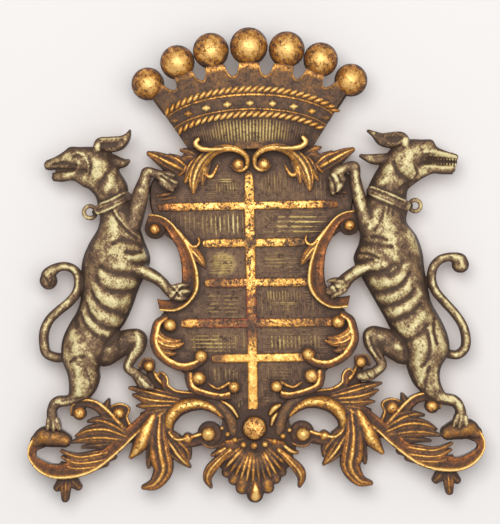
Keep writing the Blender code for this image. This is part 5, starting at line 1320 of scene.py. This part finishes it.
# The last two marks are painted light: a broad darkening of the leaf as painted shade, and a paler patch as a
# painted highlight, each with only a slight dip or rise.
SHADE = (-0.0003, -0.26)
PAINTED_LIGHT = (0.0003, 0.30)
LEFT_CUTS = (
    (GROOVE, ((101, 267, 1.6), (110, 271, 2.8), (125, 274.5, 3.4), (141, 276.5, 3))),
    (GROOVE, ((97, 276, 1.2), (100, 284, 1.8), (107, 289.5, 2.4), (118, 292, 2.6), (134, 291, 2.6))),
    (GROOVE, ((92, 291, 1.2), (96, 299, 1.8), (103, 306, 2.2), (112, 311, 2.4), (126, 316, 2.6))),
    (GROOVE, ((87, 303, 1.2), (91, 314, 1.8), (99, 323, 2.2), (108, 328, 2.2), (120, 329, 2))),
    (GROOVE, ((81, 312, 1.6), (85, 323, 1.8), (92, 331, 1.8), (98, 336, 1.4))),
    (GROOVE, ((76, 315, 2), (79, 328, 2.6), (87, 342, 2.8), (95, 354, 2.6), (100, 366, 2.2))),
    (GROOVE, ((104, 338, 3), (110, 342, 3.4), (118, 336, 2.6), (126, 326, 1.6))),
    (SWELL, ((102, 271, 2), (106, 279, 4), (119, 283, 4.5), (134, 282, 3))),
    (SWELL, ((94, 283, 2), (99, 294, 4), (110, 301, 4), (127, 303, 3.5))),
    (SWELL, ((88, 297, 2), (94, 309, 4), (105, 317, 4), (119, 322, 3.5))),
    (SWELL, ((82, 311, 2), (89, 321, 3), (99, 328.5, 3.2), (108, 334, 3))),
    (SHADE, ((102, 345, 7), (104, 362, 8), (110, 356, 8), (118, 345, 6))),
    (SHADE, ((126, 343, 5), (120, 352, 5))),
    (SWELL, ((109, 350, 3.4), (109.5, 351, 3.4))),
    (SHADE, ((84, 248, 3.5), (83, 265, 3.5), (83, 285, 3), (82, 300, 2.5))),
    (SHADE, ((90, 243, 6), (93, 258, 5), (98, 268, 4))),
    (GROOVE, ((112, 211, 1), (118, 220, 1.6), (126, 229, 1.6), (137, 238, 1.4))),
    (CREST, ((115, 211, 0.9), (121, 220, 1), (129, 229, 1), (140, 238, 0.8))),
    (SHADE, ((124, 212, 4), (130, 222, 4), (134, 231, 3))),
    (GROOVE, ((113, 244, 1.4), (122, 240, 2.4), (133, 242, 2.4), (144, 247, 2))),
    (GROOVE, ((126, 252, 1.4), (133, 253, 2), (141, 252, 1.4))),
    (GROOVE, ((134, 263, 1.2), (141, 264, 1.8), (149, 262, 1.4))),
    (SWELL, ((114, 218, 3), (115, 230, 4), (114, 238, 3))),
    (SWELL, ((118, 248, 5), (120, 258, 7), (122, 266, 6))),
    (SWELL, ((130, 257.5, 2), (141, 256, 2.4), (147, 256, 1.6))),
    (SWELL, ((80, 330, 2.5), (87, 343, 3), (94, 355, 2.6), (97, 363, 2))),
    (SWELL, ((72, 330, 3), (77, 345, 4), (79, 358, 3))),
    (GROOVE, ((71, 362, 1), (78, 357, 2), (84, 356, 1.6))),
    (SWELL, ((78, 368, 3), (79, 381, 3.6), (78, 392, 3))),
    (LINE, ((85, 366, 1), (89, 376, 1.3), (92, 388, 1))),
    (SHADE, ((97, 370, 3), (97, 382, 3), (92, 394, 4))),
    (LINE, ((96, 211, 0.8), (105, 207.5, 0.8), (113, 204, 0.8))),
    (LINE, ((98, 201.5, 1.2), (108, 199.5, 1.2), (122, 190.5, 1))),
    (LINE, ((100, 205, 0.9), (110, 203, 0.9), (124, 196, 0.9))),
    (LINE, ((98, 216.5, 1.2), (108, 213, 1.2), (112, 210.5, 1))),
    (CREST, ((99, 203.5, 0.9), (110, 201, 0.9), (124, 193, 0.9))),
    (CREST, ((98, 213.5, 0.9), (106, 210.5, 0.9), (113, 208, 0.9))),
    (SHADE, ((126, 200, 4), (128, 208, 4), (131, 218, 3))),
    (GROOVE, ((105, 178, 2.2), (101, 184, 3), (99, 188, 2.2))),
    (GROOVE, ((106, 174, 1.4), (109, 172, 1.6), (112, 166, 2.4), (110, 158, 2.6))),
    (SWELL, ((112, 176, 2.8), (111, 185, 3), (107, 191, 2.4))),
    (SHADE, ((118, 178, 3), (121, 188, 3), (124, 196, 3))),
    (SHADE, ((103, 193, 3), (112, 195, 3))),
    (SWELL, ((97, 163, 5), (98, 171, 6), (94, 179, 5))),
    (SHADE, ((72, 150, 3), (82, 151, 3), (92, 151, 3), (102, 157, 3))),
    (SHADE, ((76, 156, 3.4), (82, 160, 3.4), (83, 169, 3), (79, 176, 3))),
    (LINE, ((74, 157, 1.2), (78, 155, 1.3), (82, 157, 1))),
    (CREST, ((74, 154.5, 0.9), (78, 152.8, 1), (84, 155, 0.9))),
    (GROOVE, ((53, 164.5, 1), (62, 163.5, 1.8), (72, 164, 2.2), (77, 165.5, 1.6))),
    (GROOVE, ((47, 170.6, 0.8), (55, 170.4, 1.2))),
    (LINE, ((56, 170.4, 1.2), (66, 170.4, 1), (74, 169, 0.9))),
    (SHADE, ((158, 176, 5), (168, 181, 6.5), (175, 186, 5))),
    (CREST, ((67, 175, 1.2), (73, 173.5, 1.4), (78, 169, 1.2), (79, 163, 1.2))),
    (CREST, ((86, 158, 0.7), (89, 165, 0.7), (88, 174, 0.7))),
    (LINE, ((89, 156, 0.7), (92, 165, 0.7), (90, 175, 0.7))),
    (SHADE, ((50, 166, 3), (60, 161, 3), (52, 176, 4), (60, 178, 4))),
    (GROOVE, ((103, 145, 3), (109, 145.5, 4.4), (116, 144.5, 3.8), (122, 141, 2.2))),
    (GROOVE, ((103, 145, 1.6), (109, 145.5, 3), (116, 144.5, 2.2))),
    (CREST, ((97, 147, 1.2), (101, 152, 1.2), (108, 153.5, 1.2), (116, 151, 1))),
    (CREST, ((101, 139, 1), (110, 138.5, 1), (119, 138, 1))),
    (SHADE, ((104, 156, 4), (113, 160, 4), (124, 161, 2.5))),
    (GROOVE, ((109, 154, 1.6), (114, 156, 1.6), (118, 154, 1.4))),
    (SHADE, ((133, 214, 4), (138, 200, 4), (141, 186, 3), (144, 174, 3))),
    (SWELL, ((146, 214, 2), (148, 201, 3), (149, 187, 2.6))),
    (CREST, ((150, 178.5, 1.3), (160, 179, 1.3), (168, 184, 1.2), (174, 188, 1))),
    (GROOVE, ((161, 176, 0.9), (168, 181, 0.9), (173, 184, 0.8))),
    (LINE, ((164, 174, 0.9), (171, 178, 0.8))),
    (SWELL, ((150, 273, 2.4), (158, 277, 2.4), (163, 281, 2))),
    (LINE, ((146, 277, 1), (156, 283, 1), (164, 290, 1))),
    (GROOVE, ((171, 287, 0.9), (175, 290, 1.1), (179, 296, 0.8))),
    (GROOVE, ((183, 287, 0.8), (178, 292, 0.9), (173, 299, 0.9))),
    (CREST, ((174, 286, 0.8), (178, 291, 0.8), (183, 296, 0.7))),
    (CREST, ((181, 285, 0.8), (176, 291, 0.8), (173, 295, 0.7))),
    (SHADE, ((120, 335, 4), (124, 343, 5), (130, 350, 3))),
    (SWELL, ((137, 332, 2.2), (139, 340, 2.2), (135, 350, 1.6))),
    (GROOVE, ((120, 331, 1), (118, 341, 1.2), (120, 350, 1))),
    (CREST, ((132, 352, 0.9), (129, 361, 0.9), (127, 367, 0.9))),
    (LINE, ((137, 378, 0.8), (141, 383, 0.9), (144, 388, 0.8))),
    (LINE, ((142, 376, 0.8), (147, 381, 0.9), (151, 386, 0.8))),
    (LINE, ((62, 401, 1), (72, 399, 1), (84, 397, 1.2))),
    (SHADE, ((58, 405, 3), (52, 410, 3), (52, 420, 3))),
    (LINE, ((52, 424, 0.8), (53, 431, 0.9), (56, 440, 0.8))),
    (LINE, ((58, 423, 0.8), (60, 431, 0.9), (63, 440, 0.8))),
    (SHADE, ((48, 276, 4), (46, 284, 4), (52, 284, 3))),
    (LINE, ((44, 276, 0.7), (47, 280, 0.8), (49, 286, 0.7))),
    (LINE, ((51, 274, 0.7), (52, 280, 0.8), (50, 286, 0.7))),
    (SHADE, ((47, 320, 1.6), (42, 332, 1.6), (42, 344, 1.6), (48, 355, 1.6))),
    (SHADE, ((80, 281, 1.8), (79, 293, 1.8), (72, 303, 1.8), (62, 312, 1.8))),
    (CREST, ((62, 266.5, 1.2), (71, 268, 1.2), (76, 275, 1.3), (77, 284, 1.2), (73, 293, 1.2),
             (62, 305, 1.2))),
)
RIGHT_CUTS = (
    (GROOVE, ((402, 262, 2.2), (397, 270, 2.6), (386, 275, 3.2), (368, 275, 3))),
    (GROOVE, ((409, 273, 1.4), (402, 283, 2.2), (392, 290, 2.6), (372, 293, 2.6))),
    (GROOVE, ((414, 289, 1.4), (408, 297, 2), (398, 303, 2.4), (380, 307, 2.6))),
    (GROOVE, ((420, 304, 1.4), (412, 311, 2), (402, 317, 2.4), (388, 322, 2.4))),
    (GROOVE, ((427, 324, 1.4), (420, 332, 1.8), (411, 338, 2), (404, 342, 1.6))),
    (GROOVE, ((390, 325, 1.6), (398, 334, 2.2), (404, 342, 2.4), (406, 352, 2.6))),
    (SWELL, ((403, 266, 3), (398, 279, 4), (383, 283, 4.5), (372, 282, 3))),
    (SWELL, ((413, 279, 2.4), (405, 289, 3.6), (392, 297, 4), (378, 299, 3))),
    (SWELL, ((419, 294, 2.4), (411, 303, 3.6), (398, 311, 4), (388, 313, 3))),
    (SWELL, ((424, 312, 2.4), (416, 322, 3.6), (405, 330, 4), (399, 331, 3))),
    (SHADE, ((392, 345, 6), (400, 355, 7), (386, 340, 5))),
    (SHADE, ((376, 332, 5), (384, 345, 5))),
    (SWELL, ((397, 346, 3.2), (397, 347, 3.2))),
    (SHADE, ((400, 200, 4), (400, 215, 5), (400, 232, 4), (402, 250, 4), (410, 258, 5))),
    (SHADE, ((422, 262, 3), (425, 280, 4), (428, 296, 4))),
    (SWELL, ((409, 228, 3), (413, 240, 4), (416, 252, 3))),
    (SWELL, ((386, 218, 5), (388, 232, 6), (392, 246, 6), (394, 256, 4))),
    (SWELL, ((376, 212, 3), (372, 222, 3), (369, 228, 2))),
    (LINE, ((384, 208, 1), (381, 218, 1.2), (374, 230, 1.2))),
    (LINE, ((389, 206, 0.9), (387, 214, 0.9))),
    (LINE, ((394, 206, 0.9), (392, 216, 0.9))),
    (GROOVE, ((371, 237, 1.4), (378, 237, 1.8), (386, 240, 1.2))),
    (GROOVE, ((360, 243, 2), (370, 244, 2.6), (382, 246, 2.2), (391, 247, 1.4))),
    (GROOVE, ((359, 253, 1), (368, 254, 1.4), (378, 258, 1.2))),
    (GROOVE, ((360, 262, 1.6), (366, 260, 1.8), (372, 259.5, 1.2))),
    (SHADE, ((365, 228, 4), (363, 238, 4), (356, 258, 3))),
    (SWELL, ((384, 266, 3), (370, 267, 3), (355, 272, 3), (345, 279, 2.6))),
    (GROOVE, ((394, 264, 2.4), (382, 271, 2.4), (366, 274, 2), (358, 280, 1.4))),
    (SWELL, ((421, 345, 5), (419, 354, 5), (416, 363, 3.6))),
    (SWELL, ((436, 322, 3), (439, 335, 3.6), (442, 347, 3))),
    (SWELL, ((430, 335, 2), (432, 346, 2))),
    (GROOVE, ((426, 330, 1.4), (429, 345, 1.6), (427, 358, 1.8), (421, 366, 1.6))),
    (GROOVE, ((434, 318, 1.2), (433, 330, 1.3), (436, 343, 1))),
    (SHADE, ((428, 356, 3.4), (436, 358, 3), (445, 356, 3))),
    (SWELL, ((424, 368, 2.2), (421, 378, 2), (418, 385, 1.6))),
    (LINE, ((429, 366, 1.2), (426, 378, 1.3), (424, 390, 1.2))),
    (SWELL, ((436, 368, 2), (436, 380, 2.2), (440, 390, 2.2))),
    (SHADE, ((411, 372, 3), (414, 384, 3), (424, 394, 3))),
    (LINE, ((370, 184, 0.8), (386, 190.5, 0.9), (404, 198, 0.9))),
    (CREST, ((370, 186.5, 0.8), (386, 192.5, 0.8), (404, 200, 0.8))),
    (LINE, ((369, 189, 0.7), (385, 195, 0.7), (402, 202, 0.7))),
    (CREST, ((367, 193.5, 0.8), (383, 200, 0.8), (400, 206.5, 0.8))),
    (LINE, ((366, 196, 0.9), (382, 203.5, 1.1), (400, 210, 1.1))),
    (SHADE, ((396, 204, 3.4), (404, 205, 3.4))),
    (GROOVE, ((393, 162, 1.4), (396, 170, 2), (402, 177, 2.4), (410, 181, 2))),
    (GROOVE, ((400, 188, 1.4), (407, 184, 1.8), (416, 180, 1.6))),
    (SHADE, ((384, 188, 3), (394, 189, 3), (402, 190, 3))),
    (SHADE, ((379, 172, 2.6), (375, 182, 2.6))),
    (SWELL, ((388, 168, 3), (386, 178, 4), (380, 184, 3))),
    (SWELL, ((409, 155, 5), (408, 164, 7), (412, 171, 5))),
    (GROOVE, ((415, 168, 1), (417, 174, 1.4), (414, 178, 1))),
    (SHADE, ((411, 141, 3), (413, 144, 3), (431, 144, 3), (436, 150, 2.4))),
    (PAINTED_LIGHT, ((421, 141, 2), (418, 148, 2.4))),
    (GROOVE, ((421, 160, 1.8), (425, 156, 2.4), (431, 159, 2.2))),
    (GROOVE, ((428, 159.5, 2.4), (440, 159.5, 2.4), (453, 160.5, 1.8))),
    (GROOVE, ((428, 159.5, 1.6), (440, 159.5, 1.8), (453, 160.5, 1.3))),
    (CREST, ((424, 152.5, 1), (434, 151.5, 1.1), (446, 154, 1), (456, 157, 0.8))),
    (CREST, ((424, 166, 1), (434, 166.5, 1.2), (446, 167, 1.4), (453, 167, 1.2))),
    (SHADE, ((430, 170, 2.4), (442, 172, 2.4), (452, 171, 2.4))),
    (GROOVE, ((401, 138, 2.6), (396, 139.5, 4), (389, 140, 4.4), (381, 138.5, 3.2), (376, 135, 1.6))),
    (GROOVE, ((400, 138, 1.6), (395, 139.5, 3), (388, 140, 2.6))),
    (CREST, ((407, 139, 1.2), (404, 145.5, 1.3), (395, 148.5, 1.3), (386, 147, 1.2), (380, 143.5, 0.9))),
    (CREST, ((398, 131.5, 0.9), (389, 133, 1), (380, 133.5, 1))),
    (SHADE, ((386, 156, 4), (378, 159, 4), (366, 157, 2.4))),
    (CREST, ((383, 154.5, 0.9), (373, 156, 0.9), (364, 154.5, 0.7))),
    (SHADE, ((349, 166, 3), (353, 170, 3))),
    (SWELL, ((356, 176, 2.2), (358, 188, 2.8), (359, 200, 2.6), (361, 210, 1.6))),
    (GROOVE, ((364, 178, 1), (367, 192, 1.4), (367, 206, 1.4))),
    (GROOVE, ((330, 176, 0.9), (334, 184, 1.1), (335, 191, 0.9))),
    (CREST, ((331, 174, 1.1), (337, 180, 1.2), (338, 187, 1))),
    (GROOVE, ((338, 176, 0.9), (341, 182, 1))),
    (GROOVE, ((337, 279, 1.4), (342, 278, 1.8), (346, 283, 1.2))),
    (GROOVE, ((333, 284, 0.9), (337, 290, 1.1))),
    (CREST, ((331, 286, 1), (335, 291, 1))),
    (SHADE, ((368, 340, 3), (375, 352, 3), (381, 362, 3))),
    (CREST, ((366, 333, 1.2), (368, 344, 1.2), (375, 356, 1))),
    (GROOVE, ((370, 338, 1), (374, 348, 1), (380, 358, 1))),
    (LINE, ((366, 372, 0.8), (370, 378, 0.9))),
    (LINE, ((373, 370, 0.8), (376, 376, 0.9))),
    (SWELL, ((444, 394, 2), (454, 397, 2.2), (461, 406, 1.8))),
    (LINE, ((440, 402, 0.9), (452, 405, 1), (456, 412, 0.9))),
    (LINE, ((455, 422, 0.8), (454, 430, 0.9), (452, 439, 0.8))),
    (LINE, ((461, 422, 0.8), (460, 430, 0.9), (457, 439, 0.8))),
    (SHADE, ((432, 270, 1.8), (429, 284, 2), (436, 296, 1.8), (448, 309, 1.8))),
    (SHADE, ((462, 326, 1.8), (463, 340, 1.8), (458, 350, 1.8))),
    (CREST, ((440, 257.5, 1.2), (451, 255, 1.3), (460, 258, 1.6), (463, 266, 1.6))),
    (CREST, ((434, 276, 1.2), (435, 288, 1.2), (445, 299, 1.2), (458, 314, 1.2), (466, 330, 1.2))),
)

# Silver leaf under yellowed varnish, rubbed through to dark size in the cuts.
SILVERED = carved_finish(
    "silvered_wood_varnished_leaf",
    ((0.0, "#4A3728"), (0.20, "#644B35"), (0.42, "#7C6144"), (0.58, "#967A53"),
     (0.72, "#C2B07A"), (1.0, "#DFD3A0")),
    ((0.0, "#432F21"), (0.20, "#5C422D"), (0.42, "#735439"), (0.60, "#8B6A45"),
     (0.80, "#AE8F5A"), (1.0, "#CDB47A")),
    0.14, 0.52, 1.5, 1.25)


def hound_skins(parts):
    """The rough forms of a hound as closed skins."""
    rough = Carving()
    for key in ("torso", "neck", "skull", "jaw"):
        stations(rough, parts[key], HOUND_TOP, BODY, leaf=0.53)
    for rows in (*parts["limbs"], parts["lug"]):
        stroke(rough, rows, HOUND_TOP, ROUND, leaf=0.58)
    stroke(rough, parts["collar"], HOUND_TOP, STRAP, leaf=0.6)
    boss(rough, *parts["tuft"], HOUND_TOP * 0.5, leaf=0.4)
    return rough


left_hound = relief("left_hound", hound_skins(LEFT_HOUND), SILVERED, LEFT_CUTS, 0.66, edge=0.14)
right_hound = relief("right_hound", hound_skins(RIGHT_HOUND), SILVERED, RIGHT_CUTS, 0.66, edge=0.14)

# Teeth of the right hound: an upper and a lower row of small carved points in its open mouth.
tooth_x = np.tile(np.arange(429.5, 456, 2.9), 2)
tooth_y = np.repeat((158.6, 164.6), len(tooth_x) // 2) + (tooth_x - 443) * 0.03
hound_teeth = studs("hound_teeth", on_sheet(tooth_x, tooth_y),
                    TOOTH_TOP - (tooth_x - 443) * 0.0001, (1.15, 2.0, 0.0022), 0.0,
                    (0.62, 0.3, 0.3), SILVERED, 8, 6, 0.25)

# Collar rings: a small carved ring stands out from each collar on a lug.
rings_of_collars = Carving()
around = (np.arange(RING_STEPS) / RING_STEPS * math.tau)[:, None]
tube = np.arange(WIRE_STEPS) / WIRE_STEPS * math.tau
for parts in (LEFT_HOUND, RIGHT_HOUND):
    x, y, radius = parts["ring"]
    reach = radius + RING_WIRE * np.cos(tube)[None]
    spots = on_sheet(x, y) + np.stack([np.cos(around) * reach, np.sin(around) * reach], -1)
    torus = place(spots, RING_TOP - RING_WIRE * SQUARE * (1 - np.sin(tube)))
    at = rings_of_collars.count + np.arange(RING_STEPS * WIRE_STEPS).reshape(RING_STEPS, WIRE_STEPS)
    ahead = np.roll(at, -1, 0)
    quads = np.stack([at, ahead, np.roll(ahead, -1, 1), np.roll(at, -1, 1)], -1)
    tones = np.broadcast_to(0.3 + 0.3 * np.sin(tube), at.shape).ravel()
    rings_of_collars.points.append(torus.reshape(-1, 3))
    rings_of_collars.finish.append(coat(tones, 0.5, 0.3))
    rings_of_collars.faces.append(quads.reshape(-1, 4))
    rings_of_collars.count += at.size
collar_rings = rings_of_collars.piece("collar_rings", SILVERED)

# ---- How far each point stands proud of what is round it: the leaf is rubbed on high places and
# the umber lies in the hollows. Heights of all pieces are read into one coarse grid.

CELL = 1.3 * SQUARE
MARGIN = 20
SOLID_DEPTH = 0.003
coords = []
for obj in pieces:
    flat = np.empty(len(obj.data.vertices) * 3, np.float32)
    obj.data.vertices.foreach_get("co", flat)
    coords.append(flat.reshape(-1, 3).astype(float))
low = np.concatenate(coords).min(0) - MARGIN * CELL
size = np.ceil((np.concatenate(coords).max(0) - low) / CELL).astype(int) + MARGIN
heights = np.zeros((size[0], size[2]))
for points in coords:
    cell = np.round((points - low) / CELL).astype(int)
    np.maximum.at(heights, (cell[:, 0], cell[:, 2]), -points[:, 1])
solid = heights > SOLID_DEPTH
around_close = blurred(heights, solid, 2, 2)
around_wide = blurred(heights, np.ones_like(solid), 7, 2)
for obj, points in zip(pieces, coords):
    cell = np.round((points - low) / CELL).astype(int)
    depth = -points[:, 1]
    close = depth - around_close[cell[:, 0], cell[:, 2]]
    wide = depth - around_wide[cell[:, 0], cell[:, 2]] - 0.006
    proud = np.clip(close * 70, -0.5, 0.16) + np.clip(wide * 16, -0.22, 0.12)
    give(obj.data, "proud", "FLOAT", proud)

for obj in pieces:
    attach(obj, "root")
    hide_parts("armorial_shield")

# ---- The room: a pale painted wall just behind the carving, seen through from behind, with soft
# studio light from the front and above.

WALL_REACH = 6.0
WALL_GAP = 0.024
CAMERA_DISTANCE = 4.0
SENSOR = 36.0
SHEET_DEPTH = 0.022
FRAME_WIDE = 500
FRAME_HIGH = 524

wall_mesh = bpy.data.meshes.new("studio_wall")
wall_corners = [(x * WALL_REACH, WALL_GAP, z * WALL_REACH)
                for x, z in ((-1, -1), (1, -1), (1, 1), (-1, 1))]
wall_mesh.from_pydata(wall_corners, [], [(0, 1, 2, 3)])
studio_wall = linked("studio_wall", wall_mesh)
# Matt off-white wall paint with no sheen.
paint = bpy.data.materials.new("matt_wall_paint")
paint.use_nodes = True
tree = paint.node_tree
face = tree.nodes["Principled BSDF"]
face.inputs["Base Color"].default_value = linear("#E0DCD9")
face.inputs["Roughness"].default_value = 0.9
clear = node(tree, "ShaderNodeBsdfTransparent").outputs[0]
# The wall is clear from behind, and lets the rear light through to the carving's back.
behind = node(tree, "ShaderNodeNewGeometry").outputs["Backfacing"]
through = node(tree, "ShaderNodeLightPath").outputs["Is Shadow Ray"]
open_side = node(tree, "ShaderNodeMath", {0: behind, 1: through}, operation="MAXIMUM").outputs[0]
mixed = node(tree, "ShaderNodeMixShader", {0: open_side, 1: face.outputs[0], 2: clear}).outputs[0]
tree.links.new(mixed, tree.nodes["Material Output"].inputs["Surface"])
wall_mesh.materials.append(paint)

world = bpy.data.worlds.new("studio")
bpy.context.scene.world = world
world.use_nodes = True
world.node_tree.nodes["Background"].inputs["Color"].default_value = linear("#EEF1F6")
world.node_tree.nodes["Background"].inputs["Strength"].default_value = 0.52


def softbox(name, spot, aim, size, watts):
    """A round lamp with soft edges, turned towards a point."""
    lamp = bpy.data.lights.new(name, "AREA")
    lamp.shape = "DISK"
    lamp.size = size
    lamp.energy = watts
    obj = linked(name, lamp)
    obj.location = spot
    obj.rotation_euler = (Vector(aim) - Vector(spot)).to_track_quat("-Z", "Y").to_euler()


softbox("key", (-0.35, -3.1, 0.75), (0, 0, 0.02), 2.0, 62)
softbox("fill", (0.9, -3.0, 0.1), (0, 0, 0), 2.2, 32)
softbox("rear", (0.8, 3.0, 1.0), (0, 0, 0), 2.0, 90)

# The camera looks straight at the middle of the sheet, with the lean of the carving taken out.
camera = linked("camera", bpy.data.cameras.new("camera"))
bpy.context.scene.camera = camera
camera.data.sensor_width = SENSOR
camera.data.lens = SENSOR * CAMERA_DISTANCE / (FRAME_HIGH * SQUARE)
aim = on_sheet(FRAME_WIDE / 2, FRAME_HIGH / 2) * SQUARE
camera.matrix_world = Matrix((
    (math.cos(LEAN), math.sin(LEAN), 0, aim[0]),
    (0, 0, -1, -CAMERA_DISTANCE - SHEET_DEPTH),
    (-math.sin(LEAN), math.cos(LEAN), 0, aim[1]),
    (0, 0, 0, 1)))
bpy.context.scene.view_settings.view_transform = "Standard"
